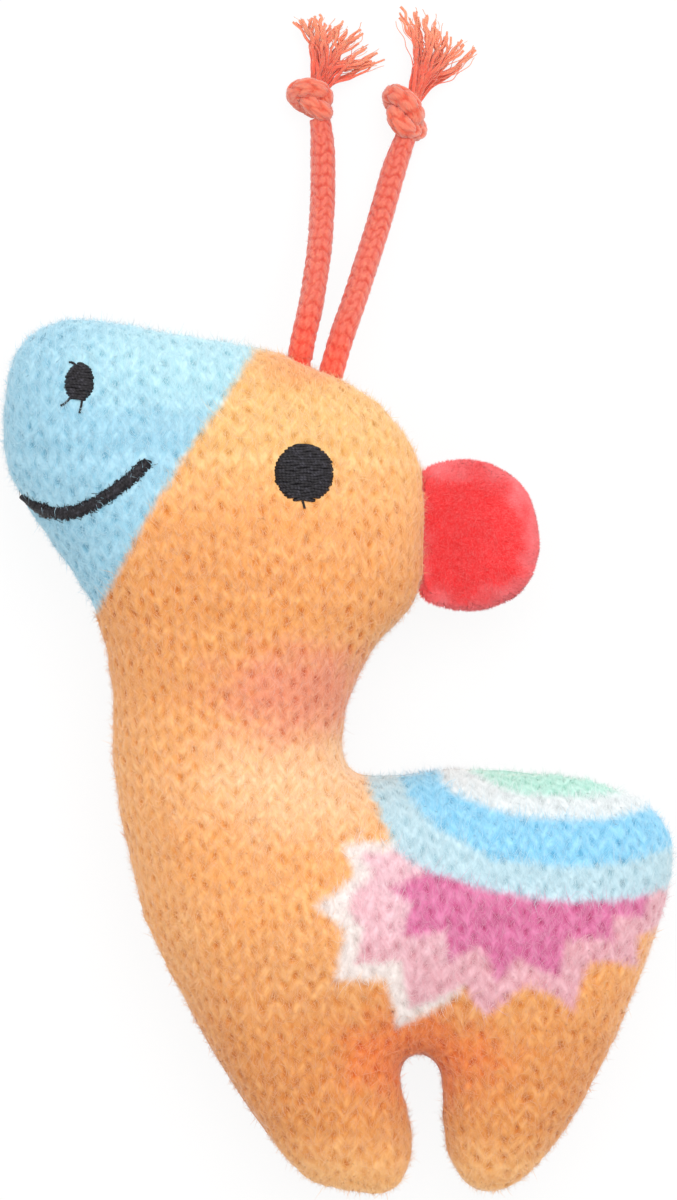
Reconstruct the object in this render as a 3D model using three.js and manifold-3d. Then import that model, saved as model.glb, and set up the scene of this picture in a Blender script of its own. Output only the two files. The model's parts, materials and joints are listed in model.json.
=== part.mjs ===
// A stuffed giraffe toy for cats, lying on its right side as it rests on a floor. Millimetres, +Z up.
// X runs from the muzzle to the rump, Y from the feet to the crown, and Z through the toy.
// Two knitted panels are sewn round their outline and filled with fibre. The seam holds a plush tuft
// at the back of the head and two knotted cords on the crown.
import * as THREE from "three";
import { mergeVertices } from "three/addons/utils/BufferGeometryUtils.js";
import Module from "manifold-3d";

const wasm = await Module();
wasm.setup();

// Head: the box that its outline fills, and how far the muzzle reaches ahead of the chest
const HEAD_LENGTH = 53.1;
const HEAD_DEPTH = 35;
const HEAD_THICKNESS = 28;
const MUZZLE_OVERHANG = 13.75;

// Neck
const NECK_LENGTH = 21;
const NECK_WIDTH = 28.75;
const NECK_THICKNESS = 27;

// Torso: the box from chest to rump and from belly to back
const TORSO_LENGTH = 70.25;
const TORSO_DEPTH = 35.4;
const TORSO_THICKNESS = 28;

// Legs
const LEG_LENGTH = 18.25;
const LEG_THICKNESS = 18;
const FRONT_LEG_WIDTH = 23.6;
const REAR_LEG_WIDTH = 22.5;
const FRONT_LEG_SETBACK = 12.5; // behind the chest
const REAR_LEG_SETBACK = 7.55; // ahead of the rump

// Sewn cover
const FABRIC_THICKNESS = 1;
const SEAM_ALLOWANCE = 2.5;
const SEAM_GAP = 0.3;
const FILLING_CLEARANCE = 0.4;
const FLAT_DEPTH = 0.5; // how far the side that it lies on is pressed flat

// Embroidery
const THREAD_THICKNESS = 0.6;
const THREAD_CLEARANCE = 0.3;
const EYE_DIAMETER = 7.2;
const NOSTRIL_WIDTH = 3;
const NOSTRIL_HEIGHT = 4.3;
const MOUTH_LENGTH = 15.8;
const MOUTH_SAG = 6.4;
const MOUTH_LINE = 1.5;

// Plush tuft
const TUFT_LENGTH = 13.7;
const TUFT_HEIGHT = 18.6;
const TUFT_THICKNESS = 10;
const PLUSH_THICKNESS = 1;
const TUFT_ROOT_RADIUS = 0.8; // round edge that the tuft flops about
const TUFT_ROOT_CLEARANCE = 0.5;
const TUFT_ROOT_SHARE = [0.06, 0.98]; // lower and upper edge of the root, up the tuft's height

// Cords, knots and frayed ends
const CORD_DIAMETER = 3.2;
const CORD_CLEARANCE = 0.3;
const SEWN_LENGTH = 4;
const KNOT_WIDTH = 6.4;
const KNOT_LENGTH = 5.8;
const KNOT_HEIGHT = 6;
const KNOT_TILT = 34; // degrees that its two turns lean each way
const KNOT_TURN_SHARE = 0.78; // thickness of a turn, squeezed flat, as a share of the cord's
const FRONT_FRAY_LENGTH = 8.9;
const REAR_FRAY_LENGTH = 11.4;
const FRAY_BASE_DIAMETER = 3;
const STRAND_DIAMETER = 0.8;
const STRAND_TIP_SHARE = 0.4;
const STRAND_COUNT = 11;
const STRAND_SIDES = 4;
const STRAND_LIFT = 9; // degrees that every other strand leans out of the fan
const STRAND_LOSS_SHARE = 0.2; // how much shorter a strand at the side of the fan is, for its whole width

// Facets
const RIB_STEPS = 1;
const BODY_SIDES = 20;
const LEG_SIDES = 16;
const TUFT_SIDES = 16;
const CORD_SIDES = 8;
const CORD_STEPS = 6;
const CURVE_STEPS = 14;
const REACH = 200; // how far a cut runs past the toy
const LEAST_SECTION = 0.35; // a rib thinner than this is left out of an inset form

// Ribs across the outline. Each joins the throat and belly edge to the crown and back edge:
// edge one x and y, edge two x and y, then half the thickness, all as shares of the section's sizes.
const HEAD_RIB_SHARES = [
  [0.005, 0.518, 0.005, 0.732, 0.22],
  [0.019, 0.436, 0.019, 0.836, 0.46],
  [0.054, 0.346, 0.054, 0.929, 0.66],
  [0.107, 0.239, 0.117, 0.99, 0.8],
  [0.168, 0.1, 0.229, 0.998, 0.87],
  [0.213, -0.007, 0.384, 0.957, 0.89],
  [0.232, -0.064, 0.548, 0.928, 0.9],
  [0.238, -0.107, 0.7, 0.889, 0.9],
  [0.242, -0.143, 0.82, 0.775, 0.9],
  [0.247, -0.179, 0.93, 0.639, 0.91],
  [0.249, -0.198, 0.982, 0.51, 0.93],
  [0.251, -0.214, 0.998, 0.34, 0.95],
  [0.254, -0.25, 0.998, 0.157, 0.98],
  [0.259, -0.293, 0.975, 0, 1],
];
const NECK_RIB_SHARES = [
  [0, 0.4, 1.2, 0.8, 1.02],
  [0.001, 0.25, 1.06, 0.53, 0.99],
  [0.007, 0.08, 1.005, 0.24, 0.98],
];
const TORSO_RIB_SHARES = [
  [0.012, 0.89, 0.415, 1.042, 0.97],
  [0.032, 0.671, 0.427, 1.004, 0.99],
  [0.068, 0.449, 0.45, 0.982, 1],
  [0.13, 0.184, 0.486, 0.979, 1],
  [0.216, 0.035, 0.53, 0.986, 1],
  [0.352, 0, 0.584, 0.993, 1],
  [0.495, 0, 0.646, 0.996, 1],
  [0.637, 0, 0.726, 0.996, 0.98],
  [0.77, 0.004, 0.82, 0.976, 0.93],
  [0.865, 0.042, 0.89, 0.929, 0.84],
  [0.925, 0.166, 0.945, 0.883, 0.7],
  [0.966, 0.36, 0.979, 0.827, 0.52],
  [0.989, 0.537, 0.995, 0.77, 0.33],
  [0.992, 0.615, 0.999, 0.721, 0.15],
];

// Ribs across a leg: front and back as shares of its width, height of its length and then thickness
const FRONT_LEG_RIB_SHARES = [
  [-0.116, 0.995, 1.63, 1.36],
  [-0.111, 1, 1.288, 1.17],
  [0, 1, 1, 1.06],
  [0.159, 1.016, 0.671, 0.99],
  [0.275, 1.069, 0.4315, 0.9],
  [0.392, 1.074, 0.26, 0.78],
  [0.497, 1.048, 0.137, 0.6],
  [0.677, 1, 0.055, 0.38],
  [0.81, 0.947, 0.01, 0.16],
];
const REAR_LEG_RIB_SHARES = [
  [0.01, 1.144, 1.63, 1.36],
  [0, 1.078, 1.288, 1.17],
  [0, 1, 1, 1.06],
  [0.033, 0.872, 0.671, 0.99],
  [0.05, 0.744, 0.4315, 0.9],
  [0.078, 0.617, 0.26, 0.78],
  [0.122, 0.494, 0.137, 0.6],
  [0.189, 0.406, 0.055, 0.38],
  [0.25, 0.344, 0.01, 0.16],
];

// Ribs across the tuft: distance from the line that it flops on, lower and upper edge, half thickness
const TUFT_RIB_SHARES = [
  [0.1, 0.04, 1, 0.32],
  [0.2, 0.02, 1, 0.58],
  [0.35, 0.007, 0.995, 0.85],
  [0.52, 0.007, 0.98, 1],
  [0.7, 0.054, 0.933, 0.97],
  [0.85, 0.134, 0.852, 0.83],
  [0.95, 0.255, 0.718, 0.6],
  [1, 0.403, 0.537, 0.25],
];

// Places on the head, as shares of its box
const EYE_PLACE_SHARE = [0.706, 0.446];
const NOSTRIL_PLACE_SHARE = [0.182, 0.761];
const MOUTH_START_SHARE = [0.052, 0.37];
const TUFT_PLACE_SHARE = 0.232; // middle of the tuft's root, up the head's depth
const MOUTH_RISE_SHARE = 0.28; // how much higher the mouth ends than it starts, of its length

// Where each cord leaves the crown, as shares of the head's box, and which way it points
const FRONT_CORD_PLACE_SHARE = [0.702, 0.871];
const REAR_CORD_PLACE_SHARE = [0.774, 0.81];
const FRONT_CORD_AIM = new THREE.Vector3(0.16, 1, 0).normalize();
const REAR_CORD_AIM = new THREE.Vector3(0.29, 1, 0).normalize();

// Routes of the cords from the point that each swings about: out, and down under its own weight
const FRONT_CORD_ROUTE = [
  [0, 0, 0], [0.4, 1.8, -0.1], [0.85, 3.6, -0.4], [1.2, 5.4, -0.95], [1.46, 7.2, -1.65],
  [1.74, 9, -2.45], [2, 10.8, -3.25], [2.2, 12.6, -4.1], [2.32, 14.4, -4.95], [2.42, 16.2, -5.8],
  [2.52, 18, -6.6], [2.56, 19.8, -7.4], [2.56, 21.6, -8.15], [2.55, 23.4, -8.8], [2.5, 25.2, -9.35],
  [2.4, 26.8, -9.75], [2.2, 28.4, -10],
];
const REAR_CORD_ROUTE = [
  [0, 0, 0], [0.5, 1.8, -0.1], [1.06, 3.6, -0.4], [1.7, 5.4, -0.95], [2.33, 7.2, -1.65],
  [2.92, 9, -2.45], [3.48, 10.8, -3.25], [4.05, 12.6, -4.1], [4.62, 14.4, -4.95], [5.18, 16.2, -5.75],
  [5.7, 18, -6.5], [6.22, 19.8, -7.25], [6.7, 21.6, -7.95], [7.2, 23.4, -8.6], [7.75, 25.2, -9.2],
  [8.35, 26.8, -9.65], [8.95, 28.5, -9.9],
];
const FRONT_KNOT_PLACE = [1.15, 30.6];
const REAR_KNOT_PLACE = [8.9, 31.2];

// Turns of the knots and frayed ends in degrees, clockwise from straight up the toy
const FRONT_KNOT_TURN = -12;
const REAR_KNOT_TURN = 38;
const FRONT_FRAY_TURN = 24;
const REAR_FRAY_TURN = 25;
const FRONT_FRAY_SPREAD = 88;
const REAR_FRAY_SPREAD = 58;

const cloth = { metalness: 0 };
const KNIT_LEFT = new THREE.MeshStandardMaterial({ ...cloth, color: 0xf6a758, roughness: 0.95 });
const KNIT_RIGHT = new THREE.MeshStandardMaterial({ ...cloth, color: 0xf2a052, roughness: 0.95 });
const FILLING = new THREE.MeshStandardMaterial({ ...cloth, color: 0xf4f2ec, roughness: 1 });
const THREAD = new THREE.MeshStandardMaterial({ ...cloth, color: 0x23222b, roughness: 0.6 });
const PLUSH = new THREE.MeshStandardMaterial({ ...cloth, color: 0xf8434a, roughness: 0.9 });
const CORD = new THREE.MeshStandardMaterial({ ...cloth, color: 0xf4623f, roughness: 0.8 });

const half = (size) => size / 2;
const up = new THREE.Vector3(0, 0, 1);

// Turns a closed geometry into a solid for cutting and joining.
function solidOf(geometry) {
  const bare = geometry.clone();
  for (const name of Object.keys(bare.attributes)) {
    if (name !== "position") bare.deleteAttribute(name);
  }
  const merged = mergeVertices(bare);
  return new wasm.Manifold(
    new wasm.Mesh({
      numProp: 3,
      vertProperties: new Float32Array(merged.attributes.position.array),
      triVerts: new Uint32Array(merged.index.array),
    }),
  );
}

function meshOf(name, solid, material) {
  const { vertProperties, triVerts } = solid.getMesh();
  const geometry = new THREE.BufferGeometry();
  geometry.setAttribute("position", new THREE.BufferAttribute(vertProperties, 3));
  geometry.setIndex(new THREE.BufferAttribute(triVerts, 1));
  geometry.computeVertexNormals();
  const mesh = new THREE.Mesh(geometry, material);
  mesh.name = name;
  return mesh;
}

// The part of a solid on the side of a plane that the direction points to.
function keepBeyond(solid, point, direction) {
  const block = new THREE.BoxGeometry(REACH, REACH, REACH);
  block.translate(0, 0, half(REACH));
  block.applyQuaternion(new THREE.Quaternion().setFromUnitVectors(up, direction.clone().normalize()));
  block.translate(point.x, point.y, point.z);
  return solid.intersect(solidOf(block));
}

const keepAbove = (solid, z) => keepBeyond(solid, new THREE.Vector3(0, 0, z), up);
const keepBelow = (solid, z) => keepBeyond(solid, new THREE.Vector3(0, 0, z), up.clone().negate());
const slab = (solid, thickness) => keepBelow(keepAbove(solid, -half(thickness)), half(thickness));

// Two smooth edge curves through the ribs' ends, which carry half the thickness as z.
function edgesThrough(ribs) {
  const curve = (edge) =>
    new THREE.CatmullRomCurve3(ribs.map((rib) => new THREE.Vector3(rib[edge][0], rib[edge][1], rib.half)));
  return { one: curve("one"), two: curve("two"), spans: ribs.length - 1 };
}

// A closed skin of elliptical rings between two edge curves, drawn in by inset all round.
function loft(edges, sides, inset = 0) {
  const steps = edges.spans * RIB_STEPS;
  const rings = [];
  for (let i = 0; i <= steps; i++) {
    const one = edges.one.getPoint(i / steps);
    const two = edges.two.getPoint(i / steps);
    const across = one.clone().sub(two).setZ(0);
    rings.push({
      centre: one.clone().add(two).setZ(0).divideScalar(2),
      across: across.clone().normalize(),
      width: half(across.length()) - inset,
      height: one.z - inset,
    });
  }
  const ends = [rings[0].centre, rings[steps].centre];
  const kept = rings.filter(
    ({ centre, width, height }) =>
      inset <= 0 ||
      (Math.min(width, height) > LEAST_SECTION && ends.every((end) => end.distanceTo(centre) > inset)),
  );
  return solidOf(ringSkin(kept, sides));
}

function ringSkin(rings, sides) {
  const points = [];
  const faces = [];
  for (const { centre, across, width, height } of rings) {
    for (let k = 0; k < sides; k++) {
      const angle = (k / sides) * 2 * Math.PI;
      const reach = width * Math.cos(angle);
      points.push(centre.x + across.x * reach, centre.y + across.y * reach, height * Math.sin(angle));
    }
  }
  const ring = (i, k) => i * sides + (k % sides);
  for (let i = 0; i + 1 < rings.length; i++) {
    for (let k = 0; k < sides; k++) {
      faces.push(ring(i, k), ring(i + 1, k), ring(i + 1, k + 1));
      faces.push(ring(i, k), ring(i + 1, k + 1), ring(i, k + 1));
    }
  }
  const last = rings.length - 1;
  const tips = [rings[0], rings[last]].map(({ centre }) => points.push(centre.x, centre.y, centre.z) / 3 - 1);
  for (let k = 0; k < sides; k++) {
    faces.push(tips[0], ring(0, k), ring(0, k + 1));
    faces.push(tips[1], ring(last, k + 1), ring(last, k));
  }
  const geometry = new THREE.BufferGeometry();
  geometry.setAttribute("position", new THREE.Float32BufferAttribute(points, 3));
  geometry.setIndex(faces);
  return geometry;
}

// The ribs of a section whose shares are of the box at x, y
function sectionRibs(shares, x, y, length, depth, thickness) {
  return shares.map(([oneX, oneY, twoX, twoY, thick]) => ({
    one: [x + oneX * length, y + oneY * depth],
    two: [x + twoX * length, y + twoY * depth],
    half: thick * half(thickness),
  }));
}

function legRibs(shares, x, width) {
  return shares.map(([front, back, height, thick]) => ({
    one: [x + front * width, (height - 1) * LEG_LENGTH],
    two: [x + back * width, (height - 1) * LEG_LENGTH],
    half: thick * half(LEG_THICKNESS),
  }));
}

const headX = -MUZZLE_OVERHANG;
const headY = TORSO_DEPTH + NECK_LENGTH;
const headPlace = ([x, y]) => new THREE.Vector2(headX + x * HEAD_LENGTH, headY + y * HEAD_DEPTH);

const bodyRibs = [
  ...sectionRibs(HEAD_RIB_SHARES, headX, headY, HEAD_LENGTH, HEAD_DEPTH, HEAD_THICKNESS),
  ...sectionRibs(NECK_RIB_SHARES, 0, TORSO_DEPTH, NECK_WIDTH, NECK_LENGTH, NECK_THICKNESS),
  ...sectionRibs(TORSO_RIB_SHARES, 0, 0, TORSO_LENGTH, TORSO_DEPTH, TORSO_THICKNESS),
];
const bodyEdges = edgesThrough(bodyRibs);
const rearLegX = TORSO_LENGTH - REAR_LEG_SETBACK - REAR_LEG_WIDTH;
const frontLegEdges = edgesThrough(legRibs(FRONT_LEG_RIB_SHARES, FRONT_LEG_SETBACK, FRONT_LEG_WIDTH));
const rearLegEdges = edgesThrough(legRibs(REAR_LEG_RIB_SHARES, rearLegX, REAR_LEG_WIDTH));

const trunk = (inset) => loft(bodyEdges, BODY_SIDES, inset);
const frontLeg = (inset) => loft(frontLegEdges, LEG_SIDES, inset);
const rearLeg = (inset) => loft(rearLegEdges, LEG_SIDES, inset);
const wholeForm = (inset) => trunk(inset).add(frontLeg(inset)).add(rearLeg(inset));

const midHeight = half(Math.max(HEAD_THICKNESS, NECK_THICKNESS, TORSO_THICKNESS)) - FLAT_DEPTH;
const floorLevel = -midHeight;

// Knitted cover: two bowls with the seam allowance turned in round their rims
function coverPanels() {
  const lip = slab(wholeForm(0), 2 * FABRIC_THICKNESS + SEAM_GAP).subtract(
    wholeForm(FABRIC_THICKNESS + SEAM_ALLOWANCE),
  );
  const skin = wholeForm(0).subtract(wholeForm(FABRIC_THICKNESS)).add(lip);
  return {
    left: keepAbove(skin, half(SEAM_GAP)),
    right: keepAbove(keepBelow(skin, -half(SEAM_GAP)), floorLevel),
  };
}

// Fibre filling: the room inside the cover, less the turned-in seam allowance, in five packed masses
function fillings() {
  const inset = FABRIC_THICKNESS + FILLING_CLEARANCE;
  const seamRoom = slab(wholeForm(0), 2 * inset + SEAM_GAP).subtract(wholeForm(inset + SEAM_ALLOWANCE));
  const [neckTop, neckFoot] = [HEAD_RIB_SHARES.length - 1, HEAD_RIB_SHARES.length + NECK_RIB_SHARES.length];
  const masses = trunk(inset).subtract(seamRoom);
  const torso = beyondRib(masses, neckFoot, 1);
  const legMass = (leg) => largest(leg.subtract(seamRoom).subtract(trunk(inset - FILLING_CLEARANCE)));
  return {
    head: beyondRib(masses, neckTop, -1),
    neck: beyondRib(beyondRib(masses, neckTop, 1), neckFoot, -1),
    torso,
    frontLeg: legMass(frontLeg(inset)),
    rearLeg: legMass(rearLeg(inset)),
  };
}

// What lies beyond a rib, towards the rump where way is 1 and the muzzle where it is -1
function beyondRib(solid, index, way) {
  const { one, two } = bodyRibs[index];
  const along = new THREE.Vector3(two[1] - one[1], one[0] - two[0], 0).normalize().multiplyScalar(way);
  const point = new THREE.Vector3(one[0], one[1], 0).addScaledVector(along, half(FILLING_CLEARANCE));
  return keepBeyond(solid, point, along);
}

const largest = (solid) => solid.decompose().sort((a, b) => b.volume() - a.volume())[0];

// Stitches that lie on the cover inside a shape, on the left side and, mirrored, on the right
function stitched(name, shape) {
  const layer = trunk(-THREAD_CLEARANCE - THREAD_THICKNESS).subtract(trunk(-THREAD_CLEARANCE));
  const outline = { depth: REACH, bevelEnabled: false, curveSegments: CURVE_STEPS };
  const column = new THREE.ExtrudeGeometry(shape, outline);
  const left = keepAbove(layer.intersect(solidOf(column)), half(SEAM_GAP));
  column.translate(0, 0, -REACH);
  const lower = keepBelow(layer.intersect(solidOf(column)), -half(SEAM_GAP));
  const right = keepAbove(lower, floorLevel);
  return [meshOf("left_" + name, left, THREAD), meshOf("right_" + name, right, THREAD)];
}

function eyeShape() {
  const { x, y } = headPlace(EYE_PLACE_SHARE);
  return new THREE.Shape().absarc(x, y, half(EYE_DIAMETER), 0, 2 * Math.PI);
}

function nostrilShape() {
  const { x, y } = headPlace(NOSTRIL_PLACE_SHARE);
  return new THREE.Shape().absellipse(x, y, half(NOSTRIL_WIDTH), half(NOSTRIL_HEIGHT), 0, 2 * Math.PI);
}

// A line of even width along a sagging curve
function mouthShape() {
  const start = headPlace(MOUTH_START_SHARE);
  const end = new THREE.Vector2(MOUTH_LENGTH, MOUTH_LENGTH * MOUTH_RISE_SHARE).add(start);
  const dip = start.clone().add(end).multiplyScalar(0.5).sub(new THREE.Vector2(0, MOUTH_SAG));
  const curve = new THREE.QuadraticBezierCurve(start, dip, end);
  const side = (way) =>
    curve.getPoints(half(CURVE_STEPS)).map((point, i) => {
      const { x, y } = curve.getTangent(i / half(CURVE_STEPS));
      return point.add(new THREE.Vector2(-y, x).multiplyScalar(way * half(MOUTH_LINE)));
    });
  return new THREE.Shape([...side(-1), ...side(1).reverse()]);
}

// Plush tuft, built about the line that it flops on: two plush panels round a filling
function tuftGroup() {
  const reach = TUFT_ROOT_RADIUS + TUFT_ROOT_CLEARANCE;
  const group = new THREE.Group();
  group.name = "tuft_line";
  group.position.set(headX + HEAD_LENGTH + reach, headY + TUFT_PLACE_SHARE * HEAD_DEPTH, 0);
  const rib = ([out, low, high, thick]) => ({
    one: [out * TUFT_LENGTH, (low - 0.5) * TUFT_HEIGHT],
    two: [out * TUFT_LENGTH, (high - 0.5) * TUFT_HEIGHT],
    half: thick * half(TUFT_THICKNESS),
  });
  const root = (out, thickness) => ({ ...rib([out / TUFT_LENGTH, ...TUFT_ROOT_SHARE, 0]), half: thickness });
  const edges = edgesThrough([
    root(-TUFT_ROOT_RADIUS, half(TUFT_ROOT_RADIUS)),
    root(0, TUFT_ROOT_RADIUS),
    ...TUFT_RIB_SHARES.map(rib),
  ]);
  const whole = loft(edges, TUFT_SIDES);
  const skin = whole.subtract(loft(edges, TUFT_SIDES, PLUSH_THICKNESS));
  group.add(
    meshOf("tuft_left_cover", keepAbove(skin, half(SEAM_GAP)), PLUSH),
    meshOf("tuft_right_cover", keepBelow(skin, -half(SEAM_GAP)), PLUSH),
    meshOf("tuft_filling", loft(edges, TUFT_SIDES, PLUSH_THICKNESS + FILLING_CLEARANCE), FILLING),
  );
  return group;
}

// A tube of round section along a route
function tubeAlong(route, radius) {
  const path = new THREE.CatmullRomCurve3(route.map((point) => new THREE.Vector3(...point)));
  const section = new THREE.Shape();
  for (let k = 0; k < CORD_SIDES; k++) {
    const angle = (k / CORD_SIDES) * 2 * Math.PI;
    section[k ? "lineTo" : "moveTo"](radius * Math.cos(angle), radius * Math.sin(angle));
  }
  return solidOf(
    new THREE.ExtrudeGeometry(section, { steps: CORD_STEPS, extrudePath: path, bevelEnabled: false }),
  );
}

// The straight run along an aim through the seam, from one distance to another
function sewnRun(aim, from, to, radius) {
  const rod = new THREE.CylinderGeometry(radius, radius, to - from, CORD_SIDES);
  rod.translate(0, half(from + to), 0);
  rod.applyQuaternion(new THREE.Quaternion().setFromUnitVectors(new THREE.Vector3(0, 1, 0), aim));
  return solidOf(rod);
}

// A tight overhand knot: two crossed turns of the cord round the run that they grip
function knotSolid(turn, grow) {
  const tube = half(CORD_DIAMETER);
  const core = new THREE.SphereGeometry(1, CURVE_STEPS, CORD_SIDES);
  const [wide, long, high] = [half(KNOT_WIDTH), half(KNOT_LENGTH), half(KNOT_HEIGHT)];
  core.scale(wide - half(tube) + grow, long + grow, high - half(tube) + grow);
  let knot = solidOf(core);
  for (const tilt of [KNOT_TILT, -KNOT_TILT]) {
    const ring = new THREE.TorusGeometry(1, tube / (wide - tube), CORD_SIDES, CURVE_STEPS);
    ring.rotateX(half(Math.PI));
    const fit = (size) => ((size + grow) * (wide - tube)) / wide;
    ring.scale(fit(wide), KNOT_TURN_SHARE * (tube + grow) * ((wide - tube) / tube), fit(high));
    ring.rotateZ(THREE.MathUtils.degToRad(tilt));
    knot = knot.add(solidOf(ring));
  }
  return knot.rotate([0, 0, -turn]);
}

// A fan of strands that starts from a short base, which leaves the knot
function fraySolid(reach, turn, spread) {
  const base = new THREE.SphereGeometry(half(FRAY_BASE_DIAMETER), CORD_SIDES, half(CORD_SIDES));
  let fray = solidOf(base.translate(0, half(KNOT_LENGTH), 0));
  for (let i = 0; i < STRAND_COUNT; i++) {
    const across = i / (STRAND_COUNT - 1) - 0.5;
    const length = reach * (1 - STRAND_LOSS_SHARE * Math.abs(across));
    const tip = half(STRAND_DIAMETER) * STRAND_TIP_SHARE;
    const strand = new THREE.CylinderGeometry(tip, half(STRAND_DIAMETER), length, STRAND_SIDES);
    strand.translate(0, half(length), 0);
    strand.rotateX(THREE.MathUtils.degToRad((i % 2) * STRAND_LIFT));
    strand.rotateZ(THREE.MathUtils.degToRad(-across * spread));
    strand.translate(0, half(KNOT_LENGTH), 0);
    fray = fray.add(solidOf(strand));
  }
  return fray.rotate([0, 0, -turn]);
}

// One cord: the end held in the seam, the run that swings at the crown, its knot and its frayed end
function cordGroup(name, { place, aim, route, knotPlace, knotTurn, frayLength, frayTurn, fraySpread }) {
  const reach = half(CORD_DIAMETER) + CORD_CLEARANCE;
  const group = new THREE.Group();
  group.name = name + "_swing";
  const { x, y } = headPlace(place);
  group.position.set(x, y, 0).addScaledVector(aim, reach);
  const centre = [...knotPlace, floorLevel + half(KNOT_HEIGHT)];
  const ball = solidOf(new THREE.SphereGeometry(half(CORD_DIAMETER), CURVE_STEPS, CORD_SIDES));
  const run = tubeAlong(route, half(CORD_DIAMETER)).add(ball);
  const knotRoom = knotSolid(knotTurn, CORD_CLEARANCE);
  const fray = fraySolid(frayLength, frayTurn, fraySpread);
  group.add(
    meshOf(name + "_cord_sewn_end", sewnRun(aim, -reach - SEWN_LENGTH, -reach, half(CORD_DIAMETER)), CORD),
    meshOf(name + "_cord", run.subtract(knotRoom.translate(centre)), CORD),
    meshOf(name + "_knot", knotSolid(knotTurn, 0).translate(centre), CORD),
    meshOf(name + "_fray", fray.subtract(knotRoom).translate(centre), CORD),
  );
  return group;
}

const CORDS = {
  front: {
    place: FRONT_CORD_PLACE_SHARE,
    aim: FRONT_CORD_AIM,
    route: FRONT_CORD_ROUTE,
    knotPlace: FRONT_KNOT_PLACE,
    knotTurn: FRONT_KNOT_TURN,
    frayLength: FRONT_FRAY_LENGTH,
    frayTurn: FRONT_FRAY_TURN,
    fraySpread: FRONT_FRAY_SPREAD,
  },
  rear: {
    place: REAR_CORD_PLACE_SHARE,
    aim: REAR_CORD_AIM,
    route: REAR_CORD_ROUTE,
    knotPlace: REAR_KNOT_PLACE,
    knotTurn: REAR_KNOT_TURN,
    frayLength: REAR_FRAY_LENGTH,
    frayTurn: REAR_FRAY_TURN,
    fraySpread: REAR_FRAY_SPREAD,
  },
};

// The room that the sewn ends take in the seam
function sewnRoom() {
  const rooms = Object.values(CORDS).map(({ place, aim }) => {
    const { x, y } = headPlace(place);
    const length = SEWN_LENGTH + CORD_CLEARANCE;
    return sewnRun(aim, -length, length, half(CORD_DIAMETER) + CORD_CLEARANCE).translate([x, y, 0]);
  });
  return rooms[0].add(rooms[1]);
}

const toy = new THREE.Group();
toy.name = "giraffe_toy";
const room = sewnRoom();
const cover = coverPanels();
const filling = fillings();
toy.add(
  meshOf("left_cover", cover.left.subtract(room), KNIT_LEFT),
  meshOf("right_cover", cover.right.subtract(room), KNIT_RIGHT),
  meshOf("head_filling", filling.head.subtract(room), FILLING),
  meshOf("neck_filling", filling.neck, FILLING),
  meshOf("torso_filling", filling.torso, FILLING),
  meshOf("front_leg_filling", filling.frontLeg, FILLING),
  meshOf("rear_leg_filling", filling.rearLeg, FILLING),
  ...stitched("eye", eyeShape()),
  ...stitched("nostril", nostrilShape()),
  ...stitched("mouth", mouthShape()),
  tuftGroup(),
);

// The origin is at the middle of the base of all but the cords
const box = new THREE.Box3().setFromObject(toy);
toy.position.set(-half(box.min.x + box.max.x), -half(box.min.y + box.max.y), -floorLevel);
for (const [name, cord] of Object.entries(CORDS)) toy.add(cordGroup(name, cord));
toy.updateMatrixWorld(true);

export default toy;
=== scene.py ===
import json
import math

import bpy
import numpy as np
from bpy.props import FloatProperty, FloatVectorProperty, IntProperty, PointerProperty
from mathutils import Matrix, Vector
from mathutils.bvhtree import BVHTree

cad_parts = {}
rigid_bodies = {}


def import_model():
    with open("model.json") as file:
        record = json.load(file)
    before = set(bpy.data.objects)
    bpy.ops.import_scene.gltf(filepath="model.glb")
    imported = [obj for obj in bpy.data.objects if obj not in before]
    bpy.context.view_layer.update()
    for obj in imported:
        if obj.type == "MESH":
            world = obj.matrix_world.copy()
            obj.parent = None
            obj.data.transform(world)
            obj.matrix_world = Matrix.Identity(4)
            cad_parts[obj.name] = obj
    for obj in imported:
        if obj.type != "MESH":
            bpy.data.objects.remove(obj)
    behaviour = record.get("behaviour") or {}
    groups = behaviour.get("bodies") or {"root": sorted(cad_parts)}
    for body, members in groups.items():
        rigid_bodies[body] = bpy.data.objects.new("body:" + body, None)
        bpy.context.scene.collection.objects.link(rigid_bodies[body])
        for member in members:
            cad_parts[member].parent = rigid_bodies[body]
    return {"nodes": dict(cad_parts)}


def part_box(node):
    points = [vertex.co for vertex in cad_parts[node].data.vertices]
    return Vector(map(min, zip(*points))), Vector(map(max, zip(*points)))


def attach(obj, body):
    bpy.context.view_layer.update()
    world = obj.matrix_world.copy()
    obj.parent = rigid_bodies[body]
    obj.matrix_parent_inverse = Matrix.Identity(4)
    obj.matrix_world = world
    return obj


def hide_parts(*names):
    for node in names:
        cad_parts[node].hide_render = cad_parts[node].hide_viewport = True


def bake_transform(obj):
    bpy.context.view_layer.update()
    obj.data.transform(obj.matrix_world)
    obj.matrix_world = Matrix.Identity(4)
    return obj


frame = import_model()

bl_info = {
    "name": "Giraffe cat toy",
    "version": (1, 0, 0),
    "blender": (4, 5, 0),
    "location": "View3D > Sidebar > Giraffe toy",
    "description": "Builds a small knitted giraffe with a plush tuft and two knotted cords",
    "category": "Add Mesh",
}

MM = 0.001
SIDES = (("left", 1), ("right", -1))  # each side with the way it faces

COVER_LOW, COVER_HIGH = (np.array(corner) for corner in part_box("left_cover"))
COVER_SIZE = COVER_HIGH - COVER_LOW
SEAM_HEIGHT = 13.5 * MM
SEAM_GAP = 0.01 * MM
FLOOR_GAP = 0.02 * MM
LINE_STEP = 0.5 * MM
RIM_FADE = 1.2 * MM  # relief grows to its full depth over this height above the seam

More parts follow.
